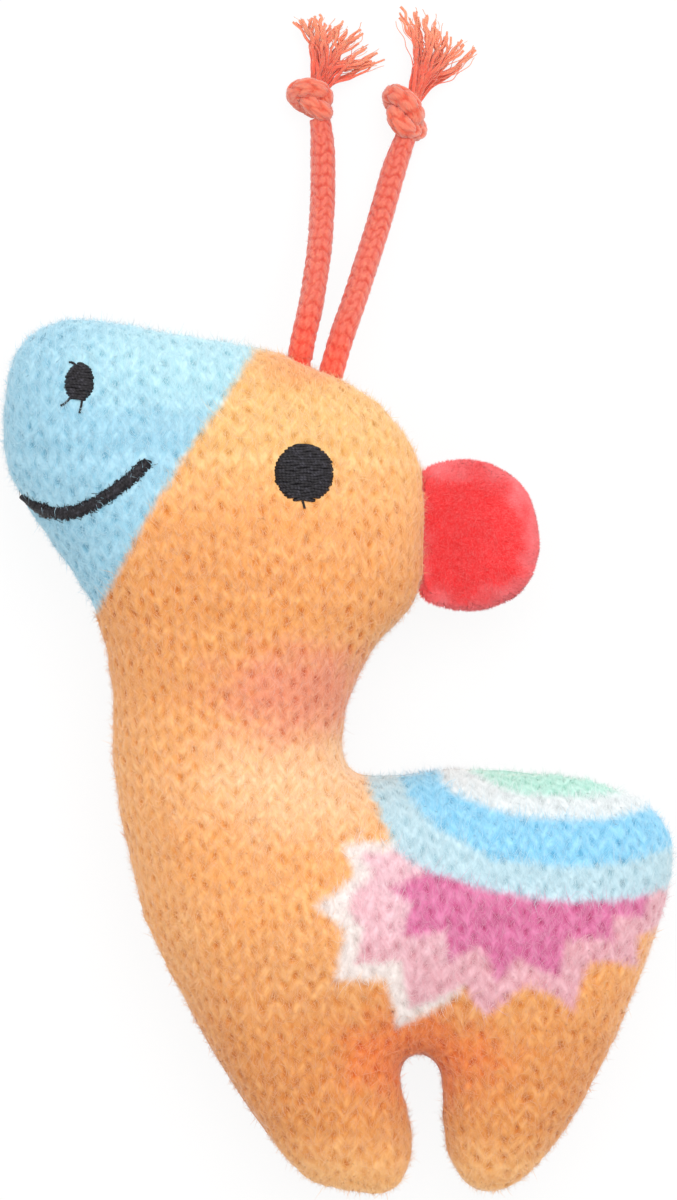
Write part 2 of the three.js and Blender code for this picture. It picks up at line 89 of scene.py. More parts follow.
# The knit: how its rows wander, its crease at the seam, its lumps and its turned-in edge
ROW_SWAY = 0.35 * MM
ROW_SWAY_SIZES = (9 * MM, 7 * MM)
COVER_CELL = 0.6 * MM
COVER_MESH = 0.66 * MM
COVER_TUCK = 0.45 * MM
COVER_THICKNESS = 1 * MM
COVER_ALLOWANCE = 2.4 * MM
# width of the band of painted shade along the seam crease
SEAM_CREASE = 0.4 * MM
LARGE_LUMP, LARGE_LUMP_SIZE = 0.3 * MM, 17 * MM
SMALL_LUMP, SMALL_LUMP_SIZE = 0.1 * MM, 6 * MM
BARE_SEAM = 0.45 * MM  # no coat grows this near the seam
FIBRE_SINK = 0.08 * MM  # the fibres start this far inside the cloth
ROOT_MARGIN, TIP_MARGIN = 0.15 * MM, -0.3 * MM  # room that the coat leaves round the mouth
EYE_MARGIN = 0.15 * MM
UNDERCOAT_WIDTH, FIBRE_WIDTH, FRINGE_WIDTH = 0.065 * MM, 0.055 * MM, 0.032 * MM

# The tuft's outline, cloth and pile
TUFT_LINE_STEP = 0.3 * MM
TUFT_CELL = 0.35 * MM
TUFT_MESH = 0.5 * MM
TUFT_TUCK = 0.25 * MM
TUFT_THICKNESS = 0.8 * MM
TUFT_ALLOWANCE = 1.6 * MM
TUFT_LUMP, TUFT_LUMP_SIZE = 0.12 * MM, 4 * MM
PILE_WIDTH = 0.1 * MM
PILE_FLOW_SIZE = 12 * MM
PILE_BELOW_SEAM = 0.2 * MM
# how far in from the outline the painted sheen on the plush reaches
RIM_REACH = 3.8 * MM
PATCH_SIZE, SPECK_SIZE = 5 * MM, 2 * MM

# The fillings: size of their cells and of their lumps
FILLING_CELL, TUFT_FILLING_CELL = 1.1 * MM, 0.6 * MM
FILLING_LUMP, FILLING_LUMP_SIZE = 0.25 * MM, 3.5 * MM
FILLING_GAP = 0.3 * MM

# Depth of the finest relief of each surface
KNIT_GRAIN, FIBRE_GRAIN, PLUSH_GRAIN = 0.16 * MM, 0.02 * MM, 0.15 * MM
CORD_GRAIN, THREAD_GRAIN, FILLING_GRAIN = 0.05 * MM, 0.06 * MM, 0.4 * MM

# How far the edges of the print wander and how softly they end
PRINT_FRAY, FIBRE_FRAY = 0.9 * MM, 0.6 * MM
PRINT_SOFTNESS = 0.7 * MM

# The cords' colour: how far from the crown seam it changes, and how deep light goes in
CROWN_SHADE = 9 * MM
CORD_GLOW_DEPTH = 0.6 * MM

# The stage
FLOOR_HALF = 1.5
LAMP_SIZE = 0.7
LAMP_PLACE = (0.1, 0.26, 0.74)
NEAREST_SEEN = 0.01

# Points of the toy's forms, as shares of the cover's box from its left and from its feet
OUTLINE_SHARES = [
    (0.030, 0.980), (0.061, 0.998), (0.101, 1.005), (0.151, 1.002), (0.202, 0.995), (0.285, 0.982),
    (0.372, 0.974), (0.418, 0.966), (0.505, 0.933), (0.554, 0.912), (0.587, 0.885), (0.615, 0.854),
    (0.627, 0.832), (0.630, 0.781), (0.630, 0.731), (0.618, 0.681), (0.593, 0.659), (0.569, 0.642),
    (0.548, 0.623), (0.526, 0.591), (0.511, 0.563), (0.505, 0.529), (0.506, 0.502), (0.517, 0.486),
    (0.542, 0.481), (0.591, 0.484), (0.645, 0.489), (0.701, 0.490), (0.787, 0.487), (0.872, 0.478),
    (0.946, 0.459), (0.974, 0.443), (0.992, 0.422), (0.999, 0.402), (0.998, 0.380), (0.989, 0.334),
    (0.972, 0.294), (0.950, 0.249), (0.911, 0.180), (0.878, 0.129), (0.845, 0.085), (0.807, 0.046),
    (0.768, 0.015), (0.736, 0.003), (0.707, 0.004), (0.680, 0.020), (0.662, 0.050), (0.654, 0.085),
    (0.656, 0.129), (0.647, 0.157), (0.618, 0.167), (0.594, 0.157), (0.591, 0.132), (0.608, 0.093),
    (0.612, 0.053), (0.603, 0.025), (0.585, 0.006), (0.562, 0.001), (0.527, 0.006), (0.461, 0.019),
    (0.421, 0.043), (0.376, 0.089), (0.337, 0.134), (0.300, 0.180), (0.255, 0.249), (0.213, 0.317),
    (0.187, 0.386), (0.170, 0.454), (0.161, 0.523), (0.161, 0.580), (0.151, 0.637), (0.131, 0.683),
    (0.092, 0.729), (0.051, 0.774), (0.015, 0.814), (0.001, 0.843), (-0.003, 0.866), (0.000, 0.912),
    (0.009, 0.952),
]
TUFT_SHARES = [
    (0.606, 0.836), (0.660, 0.840), (0.688, 0.841), (0.722, 0.837), (0.756, 0.822), (0.780, 0.802),
    (0.792, 0.770), (0.795, 0.744), (0.787, 0.713), (0.762, 0.689), (0.721, 0.675), (0.688, 0.672),
    (0.660, 0.676), (0.606, 0.680), (0.606, 0.760),
]

# Printed areas in painting order: name, colour, points as the shares above
PRINT_SHARES = [
    ("muzzle", (0.640, 0.818, 0.888), [
        (0.415, 0.986), (0.415, 0.969), (0.374, 0.970), (0.372, 0.962), (0.337, 0.917), (0.291, 0.867),
        (0.233, 0.797), (0.188, 0.738), (0.152, 0.682), (0.113, 0.637), (-0.096, 0.637),
        (-0.096, 1.049), (0.376, 1.049)]),
    ("border", (0.930, 0.886, 0.866), [
        (0.591, 0.406), (0.539, 0.409), (0.506, 0.406), (0.523, 0.370), (0.466, 0.337), (0.509, 0.310),
        (0.494, 0.251), (0.571, 0.253), (0.587, 0.198), (0.651, 0.222), (0.690, 0.243), (0.711, 0.283),
        (0.651, 0.374)]),
    ("pink", (0.905, 0.695, 0.728), [
        (0.599, 0.397), (0.535, 0.395), (0.550, 0.371), (0.517, 0.346), (0.511, 0.334), (0.538, 0.311),
        (0.524, 0.271), (0.574, 0.274), (0.594, 0.274), (0.606, 0.222), (0.651, 0.234), (0.686, 0.245),
        (0.705, 0.221), (0.717, 0.211), (0.747, 0.228), (0.777, 0.246), (0.813, 0.237), (0.848, 0.218),
        (0.866, 0.265), (0.875, 0.271), (0.908, 0.270), (0.946, 0.265), (0.944, 0.300), (0.987, 0.311),
        (1.040, 0.340), (1.040, 0.374), (0.831, 0.374), (0.666, 0.397)]),
    ("magenta", (0.848, 0.474, 0.640), [
        (0.636, 0.377), (0.599, 0.365), (0.581, 0.356), (0.609, 0.337), (0.594, 0.305), (0.618, 0.301),
        (0.659, 0.308), (0.666, 0.278), (0.704, 0.292), (0.717, 0.285), (0.733, 0.251), (0.766, 0.277),
        (0.798, 0.267), (0.825, 0.258), (0.835, 0.297), (0.875, 0.300), (0.908, 0.297), (0.905, 0.324),
        (0.955, 0.325), (0.959, 0.357), (0.831, 0.374), (0.696, 0.397)]),
    ("pale", (0.745, 0.852, 0.887), [
        (0.538, 0.494), (0.544, 0.471), (0.554, 0.452), (0.566, 0.431), (0.581, 0.409), (0.599, 0.391),
        (0.629, 0.378), (0.659, 0.370), (0.689, 0.362), (0.726, 0.353), (0.771, 0.347), (0.816, 0.342),
        (0.890, 0.341), (0.950, 0.347), (0.972, 0.351), (1.040, 0.361), (1.055, 0.477), (0.890, 0.546),
        (0.538, 0.534)]),
    ("blue", (0.581, 0.820, 0.925), [
        (0.588, 0.491), (0.594, 0.477), (0.603, 0.460), (0.621, 0.441), (0.651, 0.422), (0.681, 0.409),
        (0.711, 0.397), (0.741, 0.389), (0.786, 0.385), (0.831, 0.381), (0.875, 0.381), (0.920, 0.385),
        (0.950, 0.389), (0.980, 0.397), (1.025, 0.409), (1.040, 0.477), (0.890, 0.540), (0.588, 0.529)]),
    ("white", (0.887, 0.910, 0.915), [
        (0.645, 0.491), (0.654, 0.475), (0.674, 0.463), (0.704, 0.452), (0.741, 0.443), (0.771, 0.437),
        (0.816, 0.434), (0.875, 0.433), (0.920, 0.436), (0.950, 0.442), (0.977, 0.449), (1.025, 0.471),
        (0.890, 0.534), (0.645, 0.523)]),
    ("mint", (0.722, 0.897, 0.844), [
        (0.696, 0.490), (0.711, 0.481), (0.741, 0.471), (0.771, 0.465), (0.801, 0.460), (0.845, 0.459),
        (0.890, 0.462), (0.938, 0.465), (0.950, 0.500), (0.831, 0.529), (0.696, 0.517)]),
]

# Places where the colour turns: name, centre and reach as shares of the cover's box. Amber, cream, blush and
# petal are colours of the knit and its print; sunny, sand and frost are painted light, and dusk, ember and
# glow are painted shade
TINT_SHARES = [
    # sunny: painted light, the crown lighter as if lit more
    ("sunny", (0.450, 0.900), (0.400, 0.105)),
    ("amber", (0.352, 0.654), (0.500, 0.120)),
    ("cream", (0.470, 0.478), (0.210, 0.080)),
    # dusk: painted shade, the legs and the bottom of the toy darker
    ("dusk", (0.550, 0.120), (0.800, 0.140)),
    ("blush", (0.445, 0.577), (0.138, 0.062)),
    # ember: painted shade, a deeper red-orange where the legs part
    ("ember", (0.620, 0.165), (0.130, 0.062)),
    # sand: painted light, the feet lighter where they slope away from the lamp
    ("sand", (0.620, -0.020), (0.500, 0.090)),
    # glow: painted shadow and red reflection of the cords on the knit beside their roots
    ("glow", (0.465, 0.950), (0.085, 0.028)),
    # frost: painted light on top of the muzzle; the lower muzzle keeps the print's deeper blue as painted
    # shade
    ("frost", (0.290, 0.955), (0.200, 0.070)),
    ("petal", (0.615, 0.369), (0.120, 0.100)),
]
PRINT_TINTS = {"muzzle": "frost", "pink": "petal"}
EDGE_NAMES = [name + "_edge" for name, *_ in PRINT_SHARES]
GROUND_TINTS = [name for name, *_ in TINT_SHARES if name not in PRINT_TINTS.values()]

# The face: places as the shares above, and sizes
EYE_SHARES = (0.449, 0.8265)
NOSTRIL_SHARES = (0.116, 0.929)
NOSTRIL_HALF = (1.7 * MM, 2.35 * MM)
NOSTRIL_TILT = math.radians(-4)
EYE_FLOOR_SHARE, NOSTRIL_FLOOR_SHARE = -1.0, -0.86  # no row of thread lies lower than this
EYE_CROWN, NOSTRIL_CROWN = 0.5 * MM, 0.35 * MM
MOUTH_SHARES = [
    (0.031, 0.801), (0.044, 0.792), (0.061, 0.785), (0.086, 0.781), (0.113, 0.783), (0.136, 0.791),
    (0.166, 0.804), (0.196, 0.822), (0.218, 0.839),
]

# Loose ends of thread, in millimetres from the middle of the eye and of the nostril
EYE_TAILS = [
    [(-0.2, -3.3), (-0.05, -3.9), (0.1, -4.4)],
]
NOSTRIL_TAILS = [
    [(-0.9, -1.7), (-1.6, -2.5), (-2.3, -2.9)],
    [(0.4, -1.8), (0.35, -2.8), (0.1, -3.8)],
    [(-0.4, 2.1), (-0.8, 2.5), (-1.3, 2.55)],
]
TAIL_STEP = 0.15 * MM
TAIL_LIFT = 0.12 * MM
TAIL_RADIUS = 0.15 * MM

# Rows of thread in the eye and the nostril
ROW_STEP = 0.12 * MM
ROW_LIFT = 0.1 * MM
ROW_END_DIP, ROW_END_SPREAD = 0.25 * MM, 0.05 * MM
ROW_WAVE = 0.07 * MM
ROW_WAVE_ACROSS, ROW_WAVE_UPWARD = 0.42 * MM, 0.25 * MM

# Stitches across the mouth, and the hairs that stand off their ends
STITCH_SPACING, STITCH_RADIUS = 0.17 * MM, 0.19 * MM
STITCH_SWAY = 0.12 * MM
STITCH_LIFT, STITCH_LIFT_SPREAD = 0.05 * MM, 0.03 * MM
STITCH_CROWN = 0.38 * MM
MOUTH_UNEVEN_SIZE = 2.6 * MM
MOUTH_OPENING, MOUTH_CLOSING = 3.6 * MM, 0.7 * MM
HAIR_SET_BACK, HAIR_RADIUS = 0.3 * MM, 0.03 * MM

# Least and most of what differs from one hair or strand to the next, in millimetres
HAIR_REACH = (0.4, 0.8)
STRAND_RISE = (-2.4, 0.2)
STRAND_CRIMP = (0.12, 0.24)
STRAND_RADIUS = (0.18, 0.28)
FILAMENT_RADIUS = (0.04, 0.08)
BRAID_RADIUS = 1.6  # of a whole cord, to which the thickness of a strand is compared

# The cords: their seam end, their fibres, their knots and their opened yarn
LEAVE_BEHIND = 1.9 * MM  # a cord leaves the seam this far behind its pivot
SEWN_REACH, SEWN_OVERLAP = 3.8 * MM, 0.4 * MM
SEWN_SHARE = 0.94
CORD_STEP = 0.12 * MM
WOOL_LENGTH, WOOL_WIDTH = 0.45 * MM, 0.035 * MM
TURN_SHARE = 0.76  # how close the turns of a knot lie, as a share of the braid's thickness
KNOT_STEP, KNOT_FINE_STEP = 0.5 * MM, 0.1 * MM
KNOT_BEHIND, KNOT_AHEAD = 1.5 * MM, 2.9 * MM
KNOT_HEIGHT, ROOT_HEIGHT = 3.1 * MM, 3.2 * MM
KNOT_PLAIT = 1.5 * MM
KNOT_FLOOR_GAP = 0.05 * MM
KNOT_FROM_CROWN = 30 * MM
STRAND_STEP = 0.25 * MM
STRAND_SPREAD, FILAMENT_SPREAD = 0.22 * MM, 0.5 * MM
START_SPREAD = (0.9 * MM, 0.4 * MM, 1.0 * MM)
STEM_SPREAD = (1.0 * MM, 0.6 * MM, 1.0 * MM)

# Cord routes from the pivot, in millimetres
FRONT_ROUTE = [
    (0, 0, 0), (0.4, 1.8, -0.1), (0.85, 3.6, -0.4), (1.2, 5.4, -0.95), (1.46, 7.2, -1.65),
    (1.74, 9, -2.45), (2, 10.8, -3.25), (2.2, 12.6, -4.1), (2.32, 14.4, -4.95), (2.42, 16.2, -5.8),
    (2.52, 18, -6.6), (2.56, 19.8, -7.4), (2.56, 21.6, -8.15), (2.55, 23.4, -8.8), (2.5, 25.2, -9.35),
    (2.4, 26.8, -9.75), (2.2, 28.4, -10),
]
REAR_ROUTE = [
    (0, 0, 0), (0.5, 1.8, -0.1), (1.06, 3.6, -0.4), (1.7, 5.4, -0.95), (2.33, 7.2, -1.65),
    (2.92, 9, -2.45), (3.48, 10.8, -3.25), (4.05, 12.6, -4.1), (4.62, 14.4, -4.95), (5.18, 16.2, -5.75),
    (5.7, 18, -6.5), (6.22, 19.8, -7.25), (6.7, 21.6, -7.95), (7.2, 23.4, -8.6), (7.75, 25.2, -9.2),
    (8.35, 26.8, -9.65), (8.95, 28.5, -9.9),
]
# In millimetres: the knot and the root are taken from the pivot, the stem and the tips from the root
CORDS = [
    {
        "name": "front",
        "pivot": (-4.52, 52.145, 13.5),
        "aim": (0.16, 1, 0),
        "route": FRONT_ROUTE,
        "knot": (1.15, 30.6),
        "knot_share": 1.0,
        "turn": 0.1,
        "roll": 2.2,
        "root": (1.9, 31.6),
        "stem": (0.7, 3.2),
        "tips": [
            (-2.6, 9.75), (-2.0, 9.6), (-1.0, 10.0), (-0.4, 10.1), (0.25, 10.1), (1.0, 10.0), (1.6, 9.6),
            (2.4, 9.1), (3.25, 9.1), (4.0, 8.6), (4.9, 8.25), (5.6, 7.5), (6.5, 6.9), (7.4, 5.4),
            (7.75, 4.5), (6.75, 4.1),
        ],
    },
    {
        "name": "rear",
        "pivot": (-0.468, 49.959, 13.5),
        "aim": (0.29, 1, 0),
        "route": REAR_ROUTE,
        "knot": (8.9, 31.2),
        "knot_share": 1.1,
        "turn": -0.3,
        "roll": 1.57,
        "root": (10.0, 32.8),
        "stem": (0.9, 2.4),
        "tips": [
            (-1.6, 11.6), (-0.5, 11.9), (0, 11.5), (0.6, 10.9), (1.4, 11.25), (2.25, 9.75), (2.9, 10.4),
            (3.5, 9.9), (4.25, 9.0), (4.9, 8.4), (5.75, 8.1), (7.0, 7.6), (7.9, 6.75), (7.1, 6.0),
        ],
    },
]


# Settings

def length(name, description, default):
    return FloatProperty(name=name, description=description, default=default, unit="LENGTH", precision=5)


def tone(name, description, default):
    return FloatVectorProperty(name=name, description=description, default=default, subtype="COLOR_GAMMA")


class KnitSettings(bpy.types.PropertyGroup):
    wale: length("Stitch width", "Width of one column of stitches", 3.25 * MM)
    course: length("Stitch height", "Height of one row of stitches", 2.5 * MM)
    slant: FloatProperty(
        name="Slant", description="Turn of the stitch columns against the toy's upright",
        default=math.radians(6), unit="ROTATION")
    relief: length("Relief", "Depth of the pits between the stitches", 0.24 * MM)
    fibre: length("Fibre length", "Length of the brushed fibres", 1.5 * MM)
    fibres: IntProperty(
        name="Fibres", description="Brushed fibres on each panel", default=60000)
    ground: tone("Ground", "Colour of the unprinted knit", (0.942, 0.700, 0.452))
    # Painted light: the crown lighter
    sunny: tone("Sunny", "Colour of the knit on the crown", (0.939, 0.760, 0.510))
    amber: tone("Amber", "Colour of the knit round the neck", (0.910, 0.645, 0.392))
    cream: tone("Cream", "Colour of the knit in the middle of the back", (0.952, 0.775, 0.586))
    # Painted shade: the legs darker
    dusk: tone("Dusk", "Colour of the knit on the legs", (0.880, 0.598, 0.345))
    blush: tone("Blush", "Colour of the knit at the nape", (0.915, 0.600, 0.470))
    # Painted shade: deeper red-orange between the legs
    ember: tone("Ember", "Colour of the knit between the legs", (0.929, 0.529, 0.282))
    # Painted light: the feet lighter
    sand: tone("Sand", "Colour of the knit at the feet", (0.960, 0.735, 0.475))
    # Painted shadow and red reflection of the cords
    glow: tone("Glow", "Colour of the knit at the cords", (0.930, 0.660, 0.415))
    # Painted light: the muzzle print paler on top
    frost: tone("Frost", "Colour of the print on top of the muzzle", (0.731, 0.883, 0.921))
    petal: tone("Petal", "Colour of the pink print towards the belly", (0.926, 0.772, 0.803))


class TuftSettings(bpy.types.PropertyGroup):
    pile: length("Pile", "Length of the plush pile", 0.8 * MM)
    fibres: IntProperty(name="Fibres", description="Pile fibres on each panel", default=26000)
    colour: tone("Colour", "Colour of the plush", (1.0, 0.215, 0.230))
    # Painted sheen: the plush lighter and pinker towards its outline
    rim: tone("Rim", "Colour of the plush towards its seam", (1.0, 0.512, 0.529))


class CordSettings(bpy.types.PropertyGroup):
    diameter: length("Diameter", "Diameter of the braid", 3.2 * MM)
    plait: length("Plait", "Height of one plait of the braid", 1.5 * MM)
    tight: length("Tight diameter", "Diameter to which the knot draws the braid", 2.5 * MM)
    colour: tone("Colour", "Colour of the braid", (0.870, 0.418, 0.350))
    root: tone("Root", "Colour of the braid at the crown", (0.921, 0.368, 0.281))
    tip: tone("Tip", "Colour of the opened yarn", (0.985, 0.600, 0.455))


class ThreadSettings(bpy.types.PropertyGroup):
    thickness: length("Thickness", "Thickness of the black thread", 0.5 * MM)
    eye: length("Eye", "Diameter of the embroidered eye", 7.1 * MM)
    mouth: length("Mouth", "Width of the mouth's satin stitch", 1.35 * MM)
    colour: tone("Colour", "Colour of the thread", (0.077, 0.060, 0.083))


class StageSettings(bpy.types.PropertyGroup):
    lens: FloatProperty(
        name="Lens", description="Focal length of the camera in millimetres", default=280.0)
    field: FloatProperty(
        name="Field", description="Height that the camera frames", default=150 * MM, unit="LENGTH")
    middle: FloatProperty(
        name="Middle", description="Height of the frame's middle above the toy's",
        default=20 * MM, unit="LENGTH")
    lamp: FloatProperty(
        name="Lamp", description="Power of the large soft lamp in watts", default=4.2)
    sky: FloatProperty(
        name="Sky", description="Strength of the light from all round", default=0.76)


SETTINGS = {
    "toy_knit": KnitSettings,
    "toy_tuft": TuftSettings,
    "toy_cord": CordSettings,
    "toy_thread": ThreadSettings,
    "toy_stage": StageSettings,
}


# Curves and fields

def placed(shares):
    """Points given as shares of the cover's box, in metres."""
    return COVER_LOW[:2] + np.array(shares, float) * COVER_SIZE[:2]


def resampled(points, spacing, closed):
    points = np.asarray(points, float)
    if closed:
        points = np.vstack([points, points[:1]])
    reach = np.concatenate([[0], np.cumsum(np.linalg.norm(np.diff(points, axis=0), axis=1))])
    marks = np.linspace(0, reach[-1], max(int(round(reach[-1] / spacing)), 2) + 1)
    found = np.stack([np.interp(marks, reach, column) for column in points.T], axis=1)
    return found[:-1] if closed else found


def softened(points, rounds, closed):
    """Evenly spaced points with their corners rounded; an open line keeps its ends."""
    points = points.copy()
    for _ in range(rounds):
        mean = (np.roll(points, 1, axis=0) + 2 * points + np.roll(points, -1, axis=0)) / 4
        if not closed:
            mean[[0, -1]] = points[[0, -1]]
        points = mean
    return points


def loop_distance(x, y, loop):
    """Distance to a closed loop, positive inside it."""
    flat = np.stack([np.ravel(x), np.ravel(y)], axis=1)
    nearest = np.full(len(flat), np.inf)
    inside = np.zeros(len(flat), bool)
    for start, end in zip(loop, np.roll(loop, -1, axis=0)):
        side = end - start
        gap = flat - start
        share = np.clip(gap @ side / (side @ side), 0, 1)
        gap -= share[:, None] * side
        nearest = np.minimum(nearest, (gap ** 2).sum(axis=1))
        if start[1] != end[1]:
            level = (start[1] > flat[:, 1]) != (end[1] > flat[:, 1])
            meets = start[0] + (flat[:, 1] - start[1]) * side[0] / side[1]
            inside ^= level & (flat[:, 0] < meets)
    return np.where(inside, 1, -1).reshape(np.shape(x)) * np.sqrt(nearest).reshape(np.shape(x))


def blurred(field, cells):
    """A two-way Gaussian blur with that many cells as its width."""
    reach = int(math.ceil(3 * cells))
    weights = np.exp(-0.5 * (np.arange(-reach, reach + 1) / cells) ** 2)
    weights /= weights.sum()
    for axis in (0, 1):
        padded = np.pad(field, [(reach, reach) if axis == side else (0, 0) for side in (0, 1)], "edge")
        size = field.shape[axis]
        field = sum(
            weight * np.take(padded, range(step, step + size), axis) for step, weight in enumerate(weights))
    return field


def spread(field, known, cells):
    """The blur of what is known of a field, carried on past its edge."""
    weight = blurred(known.astype(float), cells)
    return blurred(np.where(known, field, 0), cells) / np.maximum(weight, 1e-9)


def solid_heights(node, x, y, middle):
    """Height of a CAD node's top above the middle plane, by rays from above."""
    mesh = frame["nodes"][node].data
    tree = BVHTree.FromPolygons([v.co for v in mesh.vertices], [p.vertices for p in mesh.polygons])
    down = Vector((0, 0, -1))
    heights = np.zeros(x.shape)
    for place in np.ndindex(x.shape):
        hit = tree.ray_cast(Vector((x[place], y[place], 1)), down)[0]
        if hit is not None:
            heights[place] = max(hit.z - middle, 0)
    return heights


class Form:
    """A stuffed form over a closed outline: the square of its half thickness, on a grid."""

    def __init__(self, outline, node, spacing, middle):
        low = outline.min(axis=0) - 4 * spacing
        high = outline.max(axis=0) + 4 * spacing
        self.x = np.arange(low[0], high[0], spacing)
        self.y = np.arange(low[1], high[1], spacing)
        self.spacing = spacing
        x, y = np.meshgrid(self.x, self.y, indexing="ij")
        self.distance = loop_distance(x, y, outline)
        inside = self.distance > 0
        swell = np.zeros(x.shape)
        for _ in range(3500):
            around = swell[:-2, 1:-1] + swell[2:, 1:-1] + swell[1:-1, :-2] + swell[1:-1, 2:]
            swell[1:-1, 1:-1] = np.where(inside[1:-1, 1:-1], (around + 1) / 4, 0)
        cells = self.distance / spacing
        slope = spread(swell / np.maximum(cells, 1), (cells > 2) & (cells < 6), 1.6)
        share = np.clip((cells - 1.5) / 2, 0, 1)
        swell = share * swell + (1 - share) * cells * np.maximum(slope, slope.max() / 8)
        real = solid_heights(node, x, y, middle)
        deep = (cells > 4) & (real > 0)
        self.square = swell * spread(real ** 2, deep, 6) / np.maximum(spread(swell, deep, 6), 1e-9)

    def sample(self, field, x, y):
        column = np.clip((x - self.x[0]) / self.spacing, 0, len(self.x) - 1.001)
        row = np.clip((y - self.y[0]) / self.spacing, 0, len(self.y) - 1.001)
        i, j = column.astype(int), row.astype(int)
        s, t = column - i, row - j
        return (
            (1 - s) * ((1 - t) * field[i, j] + t * field[i, j + 1])
            + s * ((1 - t) * field[i + 1, j] + t * field[i + 1, j + 1]))


def net(values, corner, spacing):
    """Quads on the zero level of a field: one point for each cell that it passes, one quad for each edge."""
    counts = np.array(values.shape) - 1
    total = np.zeros(tuple(counts) + (3,))
    hits = np.zeros(tuple(counts))
    crossings = []
    for axis in range(3):
        others = [side for side in range(3) if side != axis]
        low = np.take(values, range(values.shape[axis] - 1), axis)
        high = np.take(values, range(1, values.shape[axis]), axis)
        place = np.argwhere((low > 0) != (high > 0))
        start, end = low[tuple(place.T)], high[tuple(place.T)]
        point = place.astype(float)
        point[:, axis] += start / (start - end)
        ring = []
        for steps in ((0, 0), (1, 0), (1, 1), (0, 1)):
            cell = place.copy()
            cell[:, others] -= steps
            ring.append(cell)
            valid = ((cell >= 0) & (cell < counts)).all(axis=1)
            np.add.at(total, tuple(cell[valid].T), point[valid])
            np.add.at(hits, tuple(cell[valid].T), 1)
        outward = start > 0 if axis != 1 else start <= 0
        crossings.append((ring, outward))
    used = hits > 0
    number = np.full(tuple(counts), -1)
    number[used] = np.arange(used.sum())
    quads = []
    for ring, outward in crossings:
        valid = np.all([((cell >= 0) & (cell < counts)).all(axis=1) for cell in ring], axis=0)
        found = np.stack([number[tuple(cell[valid].T)] for cell in ring], axis=1)
        back = ~outward[valid]
        found[back] = found[back][:, ::-1]
        quads.append(found)
    points = corner + spacing * total[used] / hits[used][:, None]
    return points, np.concatenate(quads), np.argwhere(used)


def sides_of(quads):
    """The sides of quads as pairs of points: all their first sides, then all their second ones."""
    return np.concatenate([quads[:, [k, (k + 1) % 4]] for k in range(4)])


def edges_of(quads, count):
    """The edges of a quad mesh, where each quad's sides are among them, and how many quads use each."""
    sides = np.sort(sides_of(quads), axis=1)
    keys, which, uses = np.unique(sides[:, 0] * count + sides[:, 1], return_inverse=True, return_counts=True)
    return np.stack([keys // count, keys % count], axis=1), which.reshape(4, -1), uses


def neighbour_mean(values, edges):
    count = np.bincount(edges.ravel(), minlength=len(values))
    total = [
        np.bincount(edges[:, 0], column[edges[:, 1]], len(values))
        + np.bincount(edges[:, 1], column[edges[:, 0]], len(values))
        for column in values.T]
    return np.stack(total, axis=1) / np.maximum(count, 1)[:, None]


def relaxed(points, quads, rounds):
    """Points moved towards their neighbours; those on the open rim only along it."""
    edges, _, uses = edges_of(quads, len(points))
    rim_edges = edges[uses == 1]
    rim = np.zeros(len(points), bool)
    rim[rim_edges.ravel()] = True
    for _ in range(rounds):
        mean = neighbour_mean(points, edges)
        mean[rim] = neighbour_mean(points, rim_edges)[rim]
        points = (points + mean) / 2
    return points


def refined(points, quads):
    """Each quad split into four."""
    edges, which, _ = edges_of(quads, len(points))
    first_centre = len(points) + len(edges)
    centre = first_centre + np.arange(len(quads))
    split = [
        np.stack([quads[:, k], len(points) + which[k], centre, len(points) + which[k - 1]], axis=1)
        for k in range(4)]
    middles = points[edges].mean(axis=1)
    centres = points[quads].mean(axis=1)
    return np.concatenate([points, middles, centres]), np.concatenate(split)


def unit(vectors):
    return vectors / np.maximum(np.linalg.norm(vectors, axis=-1, keepdims=True), 1e-12)


def diagonals_crossed(points, quads):
    """A vector along each quad's normal, twice as long as its area."""
    return np.cross(points[quads[:, 2]] - points[quads[:, 0]], points[quads[:, 3]] - points[quads[:, 1]])


def normals_of(points, quads):
    flat = diagonals_crossed(points, quads)
    total = np.zeros((len(points), 3))
    for k in range(4):
        for axis in range(3):
            total[:, axis] += np.bincount(quads[:, k], flat[:, axis], len(points))
    return unit(total)


def cloth_axes(normals):
    """The x and y directions laid into the surface, turned with it and not stretched."""
    n = normals.copy()
    side = np.where(n[:, 2] < 0, -1, 1)
    lift = 1 + np.abs(n[:, 2])
    across = np.stack([1 - n[:, 0] ** 2 / lift, -n[:, 0] * n[:, 1] / lift, -side * n[:, 0]], axis=1)
    upward = np.stack([-n[:, 0] * n[:, 1] / lift, 1 - n[:, 1] ** 2 / lift, -side * n[:, 1]], axis=1)
    return across, upward


def unrolled(points, quads, normals):
    """Two coordinates that grow as the cloth does, so that a pattern isn't stretched on the sides."""
    edges, _, _ = edges_of(quads, len(points))
    a, b = edges.T
    step = points[b] - points[a]
    count = len(points)
    found = []
    for axis, direction in enumerate(cloth_axes(normals)):
        wanted = (step * (direction[a] + direction[b])).sum(axis=1) / 2
        guess = points[:, axis].copy()
        rest = wanted - (guess[b] - guess[a])
        residual = np.bincount(b, rest, count) - np.bincount(a, rest, count)
        search = residual.copy()
        size = residual @ residual
        for _ in range(400):
            difference = search[b] - search[a]
            turned = np.bincount(b, difference, count) - np.bincount(a, difference, count)
            pace = size / max(search @ turned, 1e-30)
            guess += pace * search
            residual -= pace * turned
            fresh = residual @ residual
            search = residual + fresh / max(size, 1e-30) * search
            size = fresh
        found.append(guess)
    return np.stack(found, axis=1)


def scatter(a, b):
    """A number from 0 to 1 that looks random but belongs to its place."""
    return np.modf(np.abs(np.sin(a * 12.9898 + b * 78.233) * 43758.5453))[0]


def ripple(points, size, seed):
    """Smooth unevenness of about that size, from -1 to 1."""
    rng = np.random.default_rng(seed)
    total = np.zeros(len(points))
    for _ in range(9):
        wave = unit(rng.normal(size=points.shape[1])) * rng.uniform(0.6, 1.5) * math.tau / size
        total += np.sin(points @ wave + rng.uniform(0, math.tau))
    return total / 5


